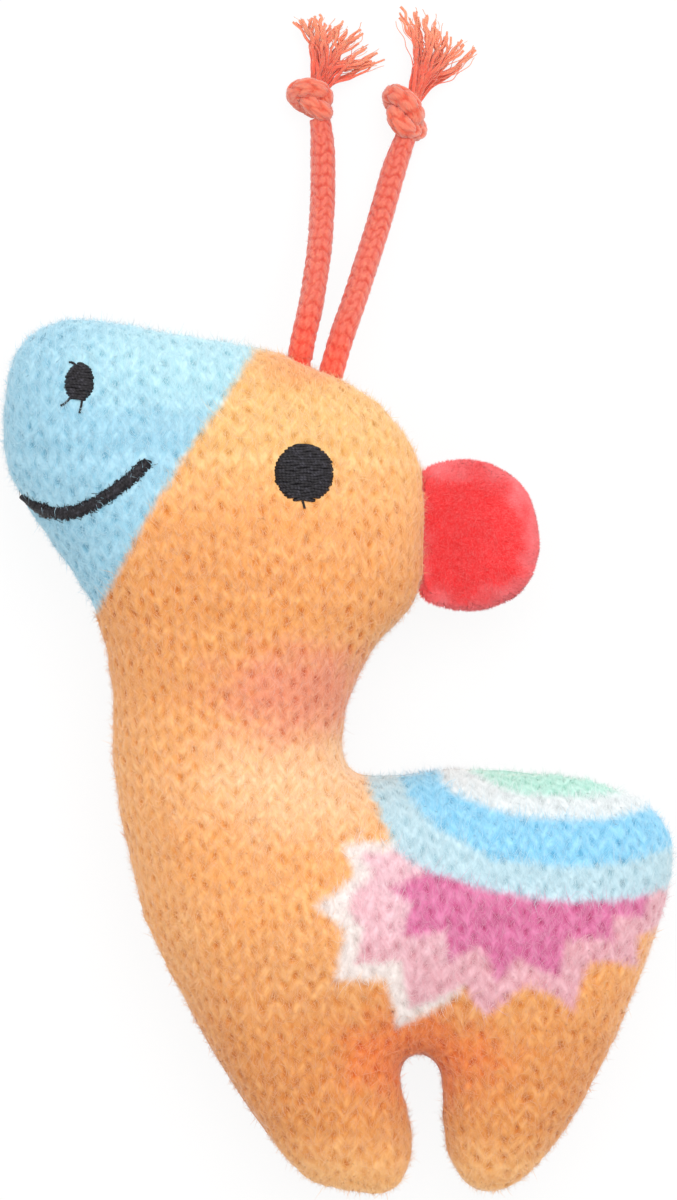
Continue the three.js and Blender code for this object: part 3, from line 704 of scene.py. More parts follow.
def stitches(cloth, knit):
    """Height of the knit, from 0 down to -1, and how deep each place is in a pit."""
    cosine, sine = math.cos(knit.slant), math.sin(knit.slant)
    sway = [ripple(cloth, size, seed) for seed, size in enumerate(ROW_SWAY_SIZES, 4)]
    cloth = cloth @ np.array([[cosine, -sine], [sine, cosine]]) + ROW_SWAY * np.stack(sway, axis=1)
    column = cloth[:, 0] / (knit.wale / 2)
    nearest = np.round(column)
    off = column - nearest
    row = cloth[:, 1] / knit.course - (nearest % 2) / 2
    line = np.round(row)
    rise = row - line
    chance = scatter(nearest, line)
    lean = (scatter(line, nearest + 3) - 0.5) * 0.9
    pit = np.exp(-((off + lean * rise) / 0.2) ** 2 - (rise / 0.24) ** 2) * (0.25 + 0.8 * chance)
    zigzag = np.abs((column + 1) % 2 - 1)
    phase = cloth[:, 1] / knit.course - zigzag / 2
    groove = np.exp(-((phase - np.round(phase)) / 0.14) ** 2) * (0.3 + chance)
    leg = np.abs(np.sin(math.pi * column))
    height = 0.35 * leg - 0.9 * pit - 0.2 * groove
    return height, np.clip(1.12 * pit + 0.13 * groove, 0, 1)


# Objects and materials

def linear(colour):
    return tuple(c / 12.92 if c <= 0.04045 else ((c + 0.055) / 1.055) ** 2.4 for c in colour) + (1,)


def make_piece(name, points, faces, material, values=None, normals=None):
    """A mesh object from arrays of points and of faces, with values on its points."""
    mesh = bpy.data.meshes.new(name)
    corners = np.concatenate([np.ravel(group) for group in faces])
    sizes = np.concatenate([np.full(len(group), group.shape[1]) for group in faces])
    mesh.vertices.add(len(points))
    mesh.vertices.foreach_set("co", np.ravel(points).astype(np.float32))
    mesh.loops.add(len(corners))
    mesh.loops.foreach_set("vertex_index", corners.astype(np.int32))
    mesh.polygons.add(len(sizes))
    mesh.polygons.foreach_set("loop_start", (np.cumsum(sizes) - sizes).astype(np.int32))
    mesh.polygons.foreach_set("use_smooth", np.ones(len(sizes), bool))
    for key, column in (values or {}).items():
        flat = column.ndim == 1
        layer = mesh.attributes.new(key, "FLOAT" if flat else "FLOAT_VECTOR", "POINT")
        layer.data.foreach_set("value" if flat else "vector", np.ravel(column).astype(np.float32))
    mesh.update(calc_edges=True)
    mesh.validate()
    if normals is not None:
        mesh.normals_split_custom_set_from_vertices(normals.tolist())
    mesh.materials.append(material)
    piece = bpy.data.objects.new(name, mesh)
    bpy.context.scene.collection.objects.link(piece)
    return piece


def joined(parts):
    """Several (points, quads, values) as one."""
    points, quads, start = [], [], 0
    for part in parts:
        points.append(part[0])
        quads.append(part[1] + start)
        start += len(part[0])
    values = {key: np.concatenate([part[2][key] for part in parts]) for key in parts[0][2]}
    return np.concatenate(points), np.concatenate(quads), values


def tube(line, radii, sides, relief=None):
    """A closed tube along a line. Its strand values are the share of the way round and the way along."""
    line = np.asarray(line, float)
    radii = np.broadcast_to(radii, len(line))
    heading = unit(np.gradient(line, axis=0))
    across = np.zeros_like(line)
    start = np.cross(heading[0], (0, 0, 1))
    across[0] = unit(start if np.linalg.norm(start) > 0.1 else np.cross(heading[0], (0, 1, 0)))
    for k in range(1, len(line)):
        across[k] = unit(across[k - 1] - heading[k] * (across[k - 1] @ heading[k]))
    upward = np.cross(across, heading)
    along = np.concatenate([[0], np.cumsum(np.linalg.norm(np.diff(line, axis=0), axis=1))])
    turn = np.arange(sides) / sides
    around, reach = np.meshgrid(turn, along)
    depth = relief(around, reach) if relief else (np.zeros_like(around), np.zeros_like(around))
    size = radii[:, None] * (1 + depth[0])
    angle = math.tau * around
    points = (
        line[:, None]
        + (size * np.cos(angle))[..., None] * across[:, None]
        + (size * np.sin(angle))[..., None] * upward[:, None]).reshape(-1, 3)
    ring = np.arange(sides)
    rows = np.arange(len(line) - 1)[:, None] * sides
    quads = np.stack([
        rows + ring, rows + np.roll(ring, -1), rows + sides + np.roll(ring, -1), rows + sides + ring],
        axis=-1).reshape(-1, 4)
    caps = []
    for place, first in ((0, 0), (len(line) - 1, (len(line) - 1) * sides)):
        centre = len(points)
        points = np.concatenate([points, line[place:place + 1]])
        for k in range(0, sides, 2):
            cap = [first + k, centre, first + (k + 2) % sides, first + (k + 1) % sides]
            caps.append(cap if place == 0 else cap[::-1])
    strand = np.stack([around.ravel(), reach.ravel(), np.zeros(around.size)], axis=1)
    strand = np.concatenate([strand, [[0, 0, 0], [0, along[-1], 0]]])
    # groove is how deep each point lies in the relief, used for painted shade
    groove = np.concatenate([np.ravel(depth[1]), [0, 0]])
    return points, np.concatenate([quads, np.array(caps)]), {"strand": strand, "groove": groove}


def ribbons(roots, directions, normals, lengths, width, bend, rng):
    """Thin tapering fibres: two steps each, with faces towards the given normals."""
    side = unit(np.cross(directions, normals) + 0.2 * rng.normal(size=roots.shape)) * width / 2
    lengths = lengths[:, None]
    middle = roots + directions * lengths * 0.5 + side * rng.normal(size=(len(roots), 1)) * 1.2
    tip = middle + unit(directions + bend * rng.normal(size=roots.shape)) * lengths * 0.5
    points = np.stack([roots - side, roots + side, middle - side * 0.8, middle + side * 0.8, tip], axis=1)
    first = np.arange(len(roots))[:, None] * 5
    return points.reshape(-1, 3), [first + [0, 1, 3, 2], first + [2, 3, 4]]


def picked(points, quads, normals, count, rng):
    """Random places on a mesh: the corners of their quads, the corners' weights, the places, the normals."""
    area = np.linalg.norm(diagonals_crossed(points, quads), axis=1)
    chosen = quads[rng.choice(len(quads), count, p=area / area.sum())]
    s, t = rng.uniform(size=(2, count))
    weights = np.stack([(1 - s) * (1 - t), s * (1 - t), s * t, (1 - s) * t], axis=1)
    return chosen, weights, weighted(points, chosen, weights), unit(weighted(normals, chosen, weights))


def weighted(values, chosen, weights):
    found = values[chosen]
    return (found * (weights if found.ndim == 2 else weights[..., None])).sum(axis=1)


def add_node(tree, kind, inputs=(), **settings):
    """A node with its settings made and its inputs linked or filled."""
    node = tree.nodes.new(kind)
    for key, value in settings.items():
        setattr(node, key, value)
    for key, value in dict(inputs).items():
        if isinstance(value, bpy.types.NodeSocket):
            tree.links.new(value, node.inputs[key])
        else:
            node.inputs[key].default_value = value
    return node


def arithmetic(tree, operation, *terms, clamp=False):
    return add_node(
        tree, "ShaderNodeMath", enumerate(terms), operation=operation, use_clamp=clamp).outputs[0]


def mixed(tree, share, first, second, blend="MIX"):
    node = add_node(
        tree, "ShaderNodeMix", {0: share, 6: first, 7: second}, data_type="RGBA", blend_type=blend)
    return node.outputs[2]


def attribute(tree, name, output="Fac"):
    return add_node(tree, "ShaderNodeAttribute", attribute_name=name).outputs[output]


def stepped(tree, value, low, high, ends=(0, 1)):
    """A smooth step of a value from one end to the other."""
    node = add_node(
        tree, "ShaderNodeMapRange", {0: value, 1: low, 2: high, 3: ends[0], 4: ends[1]},
        interpolation_type="SMOOTHSTEP")
    return node.outputs[0]


def noise(tree, vector, scale, detail=2.0, output="Fac", stretch=(1, 1, 1)):
    place = add_node(tree, "ShaderNodeMapping", {"Vector": vector, "Scale": stretch}).outputs[0]
    return add_node(
        tree, "ShaderNodeTexNoise", {"Vector": place, "Scale": scale, "Detail": detail}).outputs[output]


def object_place(tree):
    return add_node(tree, "ShaderNodeTexCoord").outputs["Object"]


def grazing(tree, low, high, ends, normal=None):
    """A value that steps up as the view comes to run along the surface."""
    inputs = {"Blend": 0.5}
    if normal is not None:
        inputs["Normal"] = normal
    facing = add_node(tree, "ShaderNodeLayerWeight", inputs).outputs["Facing"]
    return stepped(tree, facing, low, high, ends)


def new_group(name, inputs, outputs):
    tree = bpy.data.node_groups.new(name, "ShaderNodeTree")
    for label, kind, value in inputs:
        socket = tree.interface.new_socket(label, in_out="INPUT", socket_type=kind)
        socket.default_value = value
    for label, kind in outputs:
        tree.interface.new_socket(label, in_out="OUTPUT", socket_type=kind)
    given = tree.nodes.new("NodeGroupInput").outputs
    results = tree.nodes.new("NodeGroupOutput").inputs
    return tree, given, results


def place_group(tree, group, inputs=()):
    return add_node(tree, "ShaderNodeGroup", inputs, node_tree=group).outputs


def print_group():
    """The printed colours: each area's distance to its edge, frayed by the stitches, picks its colour."""
    if "printed_knit" in bpy.data.node_groups:
        return bpy.data.node_groups["printed_knit"]
    knit = bpy.context.scene.toy_knit
    tree, given, results = new_group(
        "printed_knit",
        [("Fray", "NodeSocketFloat", PRINT_FRAY), ("Softness", "NodeSocketFloat", PRINT_SOFTNESS)],
        [("Color", "NodeSocketColor")])
    place = object_place(tree)
    fine = arithmetic(tree, "SUBTRACT", noise(tree, place, 700, 2.0), 0.5)
    coarse = arithmetic(tree, "SUBTRACT", noise(tree, place, 260, 1.0), 0.5)
    wander = arithmetic(tree, "MULTIPLY", arithmetic(tree, "ADD", fine, coarse), given["Fray"])
    mottle = noise(tree, place, 95, 3.0)
    colour = mixed(tree, stepped(tree, mottle, 0.35, 0.7), linear(knit.ground), linear([
        channel * share for channel, share in zip(knit.ground, (1.0, 0.975, 0.93))]))
    uneven = arithmetic(tree, "ADD", fine, coarse)

    def tinted(colour, name):
        reach = arithmetic(tree, "MULTIPLY_ADD", uneven, 0.5, attribute(tree, name))
        return mixed(tree, stepped(tree, reach, 0.1, 0.95), colour, linear(getattr(knit, name)))

    # The ground tints: colours of the knit, and painted light and shade (sunny, sand, dusk, ember, glow)
    for name in GROUND_TINTS:
        colour = tinted(colour, name)
    back = arithmetic(tree, "MULTIPLY", given["Softness"], -1.0)
    for edge, (name, shade, _) in zip(EDGE_NAMES, PRINT_SHARES):
        depth = arithmetic(tree, "ADD", attribute(tree, edge), wander)
        dye = linear(shade)
        # frost paints light on top of the muzzle print; petal turns the pink paler towards the belly
        if name in PRINT_TINTS:
            dye = tinted(dye, PRINT_TINTS[name])
        colour = mixed(tree, stepped(tree, depth, back, given["Softness"]), colour, dye)
    tree.links.new(colour, results["Color"])
    return tree


def twist_group():
    """Fine yarns that wind round a strand: a height and a mask for the gaps between them."""
    if "twisted_yarn" in bpy.data.node_groups:
        return bpy.data.node_groups["twisted_yarn"]
    tree, given, results = new_group(
        "twisted_yarn",
        [
            ("Plies", "NodeSocketFloat", 3.0),
            ("Turns", "NodeSocketFloat", 900.0),
            ("Hairs", "NodeSocketFloat", 0.35),
        ],
        [("Height", "NodeSocketFloat"), ("Gap", "NodeSocketFloat")])
    place = add_node(tree, "ShaderNodeSeparateXYZ", {0: attribute(tree, "strand", "Vector")}).outputs
    around = arithmetic(tree, "MULTIPLY", place[0], given["Plies"])
    turned = arithmetic(tree, "MULTIPLY_ADD", place[1], given["Turns"], around)
    ridge = arithmetic(tree, "PINGPONG", turned, 0.5)
    ridge = arithmetic(tree, "MULTIPLY", ridge, 2.0)
    hairs = noise(tree, object_place(tree), 5200, 2.0)
    height = arithmetic(tree, "MULTIPLY_ADD", hairs, given["Hairs"], ridge)
    tree.links.new(height, results["Height"])
    tree.links.new(stepped(tree, ridge, 0.45, 0.0), results["Gap"])
    return tree


def new_material(name):
    """A material with its node tree and its shader, or with neither when it is made already."""
    if name in bpy.data.materials:
        return bpy.data.materials[name], None, None
    material = bpy.data.materials.new(name)
    material.use_nodes = True
    shader = material.node_tree.nodes["Principled BSDF"]
    return material, material.node_tree, shader


def finish_shader(tree, shader, colour, height, distance, strength=1.0, **uniform):
    bump = add_node(
        tree, "ShaderNodeBump", {"Height": height, "Distance": distance, "Strength": strength})
    tree.links.new(colour, shader.inputs["Base Color"])
    tree.links.new(bump.outputs[0], shader.inputs["Normal"])
    for key, value in uniform.items():
        shader.inputs[key.replace("_", " ")].default_value = value


def knit_material():
    material, tree, shader = new_material("brushed_knit")
    if tree is None:
        return material
    knit = bpy.context.scene.toy_knit
    colour = place_group(tree, print_group())["Color"]
    cloth = attribute(tree, "cloth", "Vector")
    parts = add_node(tree, "ShaderNodeSeparateXYZ", {0: cloth}).outputs
    leg = arithmetic(tree, "PINGPONG", parts[0], knit.wale / 2)
    slanted = add_node(tree, "ShaderNodeCombineXYZ", {0: leg, 1: parts[1]}).outputs[0]
    turned = add_node(
        tree, "ShaderNodeVectorRotate", {"Vector": slanted, "Angle": math.radians(32)},
        rotation_type="Z_AXIS")
    streaks = noise(tree, turned.outputs[0], 1500, 3.0, stretch=(1, 0.22, 1))
    loose = noise(tree, cloth, 2600, 2.0, stretch=(1, 0.35, 1))
    # Painted shade: the pits, the V-lines and the seam crease darkened and deepened in hue beyond what the
    # relief casts; the streaks are the yarn's own uneven tone
    pit = arithmetic(tree, "MULTIPLY", attribute(tree, "pit"), stepped(tree, loose, 0.25, 0.6, (0.75, 1.15)))
    depth = arithmetic(tree, "MULTIPLY_ADD", pit, 0.5, stepped(tree, streaks, 0.3, 0.7, (1.14, 0.84)))
    deeper = add_node(tree, "ShaderNodeGamma", {"Color": colour, "Gamma": depth}).outputs[0]
    shade = arithmetic(tree, "MULTIPLY_ADD", pit, -0.16, 1.0)
    value = arithmetic(tree, "MULTIPLY", stepped(tree, streaks, 0.3, 0.72, (0.94, 1.05)), shade)
    colour = mixed(tree, 1.0, deeper, add_node(
        tree, "ShaderNodeCombineColor", {0: value, 1: value, 2: value}).outputs[0], "MULTIPLY")
    # Painted highlight: a pale cream rim where the surface turns away from the view
    colour = mixed(tree, grazing(tree, 0.72, 1.0, (0.0, 0.3)), colour, (1, 0.9, 0.8, 1))
    finish_shader(
        tree, shader, colour, arithmetic(tree, "ADD", streaks, loose), KNIT_GRAIN, 0.7,
        Roughness=0.92, Specular_IOR_Level=0.15, Sheen_Weight=0.25, Sheen_Roughness=0.5)
    return material


def fuzz_material():
    material, tree, shader = new_material("brushed_fibre")
    if tree is None:
        return material
    colour = place_group(tree, print_group(), {"Fray": FIBRE_FRAY})["Color"]
    skin = add_node(
        tree, "ShaderNodeVectorTransform", {"Vector": attribute(tree, "skin", "Vector")},
        vector_type="NORMAL", convert_from="OBJECT", convert_to="WORLD").outputs[0]
    # The fibres are lighter at random, and a painted highlight makes them paler still where the cloth turns
    # away from the view
    pale = stepped(tree, attribute(tree, "chance"), 0.0, 1.0, (0.0, 0.16))
    pale = arithmetic(tree, "ADD", pale, grazing(tree, 0.68, 1.0, (0.0, 0.42), skin))
    paler = mixed(tree, pale, colour, (1, 1, 1, 1))
    hairs = noise(tree, object_place(tree), 3000, 1.0)
    finish_shader(
        tree, shader, paler, hairs, FIBRE_GRAIN, 0.3,
        Roughness=0.85, Specular_IOR_Level=0.2, Sheen_Weight=0.3)
    return material


def plush_material(name, lightness):
    material, tree, shader = new_material(name)
    if tree is None:
        return material
    tuft = bpy.context.scene.toy_tuft
    place = object_place(tree)
    patch = noise(tree, place, 420, 2.0)
    # Painted sheen: the plush lighter and pinker towards its outline, in mottled patches
    rim = stepped(tree, attribute(tree, "rim"), 0.0, 1.0)
    colour = mixed(tree, rim, linear(tuft.colour), linear(tuft.rim))
    colour = mixed(tree, stepped(tree, patch, 0.35, 0.75, (0.0, 0.3)), colour, linear(
        [channel * 0.94 for channel in tuft.colour]))
    pale = stepped(tree, attribute(tree, "chance"), 0.2, 1.0, (0.0, lightness))
    colour = mixed(tree, pale, colour, (1, 0.62, 0.6, 1))
    hairs = noise(tree, place, 3600, 2.0)
    finish_shader(
        tree, shader, colour, hairs, PLUSH_GRAIN, 0.6,
        Roughness=0.8, Specular_IOR_Level=0.25, Sheen_Weight=0.35, Sheen_Roughness=0.4)
    return material


def cord_material():
    material, tree, shader = new_material("braided_yarn")
    if tree is None:
        return material
    cord = bpy.context.scene.toy_cord
    twist = place_group(tree, twist_group(), {"Plies": 26.0, "Turns": 1200.0, "Hairs": 0.8})
    root = stepped(tree, attribute(tree, "from_crown"), CROWN_SHADE, 0.0)
    colour = mixed(tree, root, linear(cord.colour), linear(cord.root))
    opened = stepped(tree, attribute(tree, "tip"), 0.4, 1.0, (0.0, 0.9))
    colour = mixed(tree, opened, colour, linear(cord.tip))
    # Painted shade: the braid's colour deeper in the grooves between its plaits
    groove = attribute(tree, "groove")
    colour = add_node(tree, "ShaderNodeGamma", {
        "Color": colour, "Gamma": arithmetic(tree, "MULTIPLY_ADD", groove, 0.5, 0.96)}).outputs[0]
    paler = stepped(tree, noise(tree, object_place(tree), 2400, 3.0), 0.45, 0.75, (0.0, 0.34))
    colour = mixed(tree, paler, colour, linear(cord.tip))
    finish_shader(
        tree, shader, colour, twist["Height"], CORD_GRAIN, 0.7,
        Roughness=0.75, Specular_IOR_Level=0.25, Sheen_Weight=0.5, Sheen_Roughness=0.5,
        Subsurface_Weight=0.35, Subsurface_Radius=(1.0, 0.35, 0.25), Subsurface_Scale=CORD_GLOW_DEPTH)
    return material


def thread_material():
    material, tree, shader = new_material("black_thread")
    if tree is None:
        return material
    thread = bpy.context.scene.toy_thread
    twist = place_group(tree, twist_group(), {"Plies": 3.0, "Turns": 2300.0, "Hairs": 0.4})
    place = object_place(tree)
    # Painted glints: grey specks on the black thread
    painted_glints = stepped(tree, noise(tree, place, 1500, 3.0), 0.45, 0.75, (0.0, 0.3))
    colour = mixed(tree, painted_glints, linear(thread.colour), linear((0.40, 0.39, 0.44)))
    # Painted shade: the thread darker in the gaps between its plies
    colour = mixed(tree, twist["Gap"], colour, linear([channel * 0.5 for channel in thread.colour]))
    finish_shader(
        tree, shader, colour, twist["Height"], THREAD_GRAIN, 0.8,
        Roughness=0.55, Specular_IOR_Level=0.35)
    return material


def filling_material():
    material, tree, shader = new_material("filling_fibre")
    if tree is None:
        return material
    place = object_place(tree)
    tangle = noise(tree, place, 900, 4.0, stretch=(1, 0.4, 1.6))
    colour = mixed(
        tree, stepped(tree, tangle, 0.3, 0.7), linear((0.93, 0.93, 0.92)), linear((0.8, 0.8, 0.8)))
    finish_shader(tree, shader, colour, tangle, FILLING_GRAIN, 0.9, Roughness=0.7, Sheen_Weight=0.4)
    return material


# The covers

def print_values(points):
    """Distances to the edges of the printed areas, and the strength of each tint."""
    x, y = points[:, 0], points[:, 1]
    values = {}
    for edge, (_, _, shares) in zip(EDGE_NAMES, PRINT_SHARES):
        values[edge] = loop_distance(x, y, placed(shares))
    for name, centre, reach in TINT_SHARES:
        off = (points[:, :2] - placed([centre])[0]) / (np.array(reach) * COVER_SIZE[:2])
        values[name] = np.exp(-(off ** 2).sum(axis=1))
    return values


def stuffed_form(shares, step, rounds, node, cell):
    """The form that an outline takes when it is stuffed as thick as its CAD node."""
    outline = softened(resampled(placed(shares), step, True), rounds, True)
    return Form(outline, node, cell, SEAM_HEIGHT)


def near_stitching(points, margin):
    """Where the embroidery lies, with that margin round the mouth and a narrow one round the rest."""
    x, y = points[:, 0], points[:, 1]
    thread = bpy.context.scene.toy_thread
    eye = placed([EYE_SHARES])[0]
    nostril = placed([NOSTRIL_SHARES])[0]
    near = np.hypot(x - eye[0], y - eye[1]) < thread.eye / 2 + EYE_MARGIN
    near |= np.hypot((x - nostril[0]) / NOSTRIL_HALF[0], (y - nostril[1]) / NOSTRIL_HALF[1]) < 1.08
    for place in resampled(placed(MOUTH_SHARES), LINE_STEP, False):
        near |= np.hypot(x - place[0], y - place[1]) < thread.mouth / 2 + margin
    return near


def half_sheet(form, spacing, tuck):
    """The outside of one half, as a refined quad sheet with its rim at the seam: coarse and fine points."""
    x = np.arange(form.x[0], form.x[-1], spacing)
    y = np.arange(form.y[0], form.y[-1], spacing)
    z = (np.arange(int(math.sqrt(form.square.max()) / spacing) + 4) - 0.5) * spacing
    gx, gy = np.meshgrid(x, y, indexing="ij")
    square = form.sample(form.square, gx, gy)[..., None]
    height = np.sqrt(np.maximum(square, 0))
    scale = 2 * np.maximum(np.maximum(height, np.abs(z)), 1.5 * spacing)
    field = (square - z ** 2) / scale - tuck * np.exp(-(z / (2 * tuck)) ** 2)
    points, quads, cells = net(field, np.array([x[0], y[0], z[0]]), spacing)
    points[cells[:, 2] == 0, 2] = 0
    points = relaxed(points, quads, 3)
    fine, fine_quads = refined(points, quads)
    fine = relaxed(fine, fine_quads, 2)
    points = fine[:len(points)]
    return points, quads, fine, fine_quads


def lined(points, quads, fine, fine_quads, cloth_thickness, allowance):
    """A fine outer sheet closed by a coarse inner one and by the allowance that is turned in at the seam."""
    edges, which, uses = edges_of(quads, len(points))
    outer_normals = normals_of(points, quads)
    rim = np.unique(edges[uses == 1])
    inner = points - outer_normals * cloth_thickness
    inner[:, 2] = np.maximum(inner[:, 2], 1.4 * cloth_thickness)
    flat = unit(outer_normals[rim] * (1, 1, 0))
    fold_low = points[rim] - flat * allowance
    fold_high = fold_low + (0, 0, cloth_thickness)
    first_inner = len(fine)
    first_low = first_inner + len(points)
    first_high = first_low + len(rim)
    place = np.full(len(points), -1)
    place[rim] = np.arange(len(rim))
    sides = sides_of(quads)
    open_sides = uses[which.ravel()] == 1
    a, b = sides[open_sides].T
    middle = len(points) + which.ravel()[open_sides]
    low_a, low_b = first_low + place[a], first_low + place[b]
    high_a, high_b = first_high + place[a], first_high + place[b]
    triangles = np.concatenate([
        np.stack([middle, a, low_a], axis=1), np.stack([b, middle, low_b], axis=1),
        np.stack([middle, low_a, low_b], axis=1)])
    strips = np.concatenate([
        np.stack([low_b, low_a, high_a, high_b], axis=1),
        np.stack([high_b, high_a, first_inner + a, first_inner + b], axis=1)])
    every = np.concatenate([fine, inner, fold_low, fold_high])
    up = np.zeros((len(rim), 3)) + (0, 0, 1)
    shown = np.concatenate([normals_of(fine, fine_quads), -outer_normals, -up, up])
    return every, [np.concatenate([fine_quads, quads[:, ::-1] + first_inner, strips]), triangles], shown


def upward_share(normal):
    """1 where a surface faces up, falling to 0 at the seam, as a column."""
    return np.clip(normal[:, 2:] / 0.15, 0, 1)


def panel_points(points, side):
    """Points of the left half brought to their height, or mirrored below the seam and set on the floor."""
    set_down = points.copy()
    set_down[:, 2] = np.maximum(SEAM_HEIGHT + side * (SEAM_GAP + points[:, 2]), FLOOR_GAP)
    return set_down


def turned_faces(faces, side):
    return faces if side > 0 else [group[:, ::-1] for group in faces]


class TOY_OT_covers(bpy.types.Operator):
    """Makes the two knitted panels and their brushed fibres"""
    bl_idname = "toy.covers"
    bl_label = "Knitted panels"

    def execute(self, context):
        knit = context.scene.toy_knit
        form = stuffed_form(OUTLINE_SHARES, LINE_STEP, 10, "left_cover", COVER_CELL)
        points, quads, fine, fine_quads = half_sheet(form, COVER_MESH, COVER_TUCK)
        cloth = unrolled(points, quads, normals_of(points, quads))
        cloth = refined(cloth, quads)[0]
        normals = normals_of(fine, fine_quads)
        height, pit = stitches(cloth, knit)
        up_the_toy = (fine[:, 1] - COVER_LOW[1]) / COVER_SIZE[1]
        # How strongly each place gets painted shade: its pit, more so up the toy, and a band along the seam
        # crease
        pit_shade_scale = np.interp(up_the_toy, [0.0, 0.45, 1.0], [0.85, 1.1, 1.16])
        pit = np.maximum(pit * pit_shade_scale, 0.95 * np.exp(-(fine[:, 2] / SEAM_CREASE) ** 2))
        lumps = LARGE_LUMP * ripple(fine, LARGE_LUMP_SIZE, 2) + SMALL_LUMP * ripple(fine, SMALL_LUMP_SIZE, 3)
        at_rim = np.clip(fine[:, 2] / RIM_FADE, 0, 1)
        shift = at_rim * (lumps + knit.relief * height)
        dressed = fine + normals * shift[:, None]
        every, faces, shown = lined(points, quads, dressed, fine_quads, COVER_THICKNESS, COVER_ALLOWANCE)
        extra = len(every) - len(fine)
        values = print_values(every)
        values["pit"] = np.concatenate([pit, np.zeros(extra)])
        values["cloth"] = np.concatenate([
            np.column_stack([cloth, np.zeros(len(cloth))]), np.zeros((extra, 3))])
        smooth_normals = normals_of(dressed, fine_quads)
        for name, side in SIDES:
            piece = make_piece(
                name + "_knit_panel", panel_points(every, side), turned_faces(faces, side),
                knit_material(), values, shown * (1, 1, side))
            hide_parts(name + "_cover")
            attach(piece, "toy")
            self.brush(knit, name, side, dressed, fine_quads, smooth_normals)
        return {"FINISHED"}

    def brush(self, knit, name, side, points, quads, normals):
        """A short undercoat, a sparser coat of longer fibres, and a fine fringe where the sides turn down."""
        coats = [
            ("undercoat", knit.fibres, 0.62, 34, UNDERCOAT_WIDTH),
            ("fibres", knit.fibres * 2 // 3, 1.25, 24, FIBRE_WIDTH),
            ("fringe", knit.fibres, 0.68, 40, FRINGE_WIDTH),
        ]
        for seed, (label, count, long, lie, width) in enumerate(coats):
            fringe = label == "fringe"
            rng = np.random.default_rng(11 + 2 * seed + side)
            roots, normal = picked(points, quads, normals, count, rng)[2:]
            across, upward = cloth_axes(normal)
            slope = rng.normal(0, math.radians(34), count)[:, None]
            flow = np.where(rng.uniform(size=(count, 1)) < 0.72, 1, -1)
            level = np.cos(slope) * upward * flow + np.sin(slope) * across
            steep = 1 - np.clip(normal[:, 2] / 0.6, 0, 1)
            lift = np.clip(rng.normal(math.radians(lie), math.radians(13), count), math.radians(5), 1.2)
            flatter = np.zeros(count) if fringe else steep
            lift = (lift * (1 - 0.5 * flatter))[:, None]
            direction = unit(level * np.cos(lift) + normal * np.sin(lift))
            length = knit.fibre * long * np.clip(rng.lognormal(-0.2, 0.35, count), 0.35, 1.9)
            length *= 1 - 0.62 * flatter
            tips = roots + direction * length[:, None]
            clear = ~(near_stitching(roots, ROOT_MARGIN) | near_stitching(tips, TIP_MARGIN))
            if fringe:
                clear &= (steep > 0.45) & (rng.uniform(size=count) < 0.4)
            else:
                clear &= roots[:, 2] > BARE_SEAM
            roots, normal, direction, length = roots[clear], normal[clear], direction[clear], length[clear]
            count = len(roots)
            shown = unit(normal + 0.2 * direction + 1.2 * upward_share(normal) * (0, 0, 1))
            sunk = roots - normal * FIBRE_SINK
            made, faces = ribbons(sunk, direction, shown, length, width, 0.35, rng)
            values = {key: np.repeat(column, 5, axis=0) for key, column in print_values(roots).items()}
            values["chance"] = np.repeat(rng.uniform(size=count), 5)
            values["skin"] = np.repeat(normal, 5, axis=0) * (1, 1, side)
            shown = np.repeat(shown, 5, axis=0) * (1, 1, side)
            piece = make_piece(
                name + "_knit_" + label, panel_points(made, side), turned_faces(faces, side),
                fuzz_material(), values, shown)
            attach(piece, "toy")


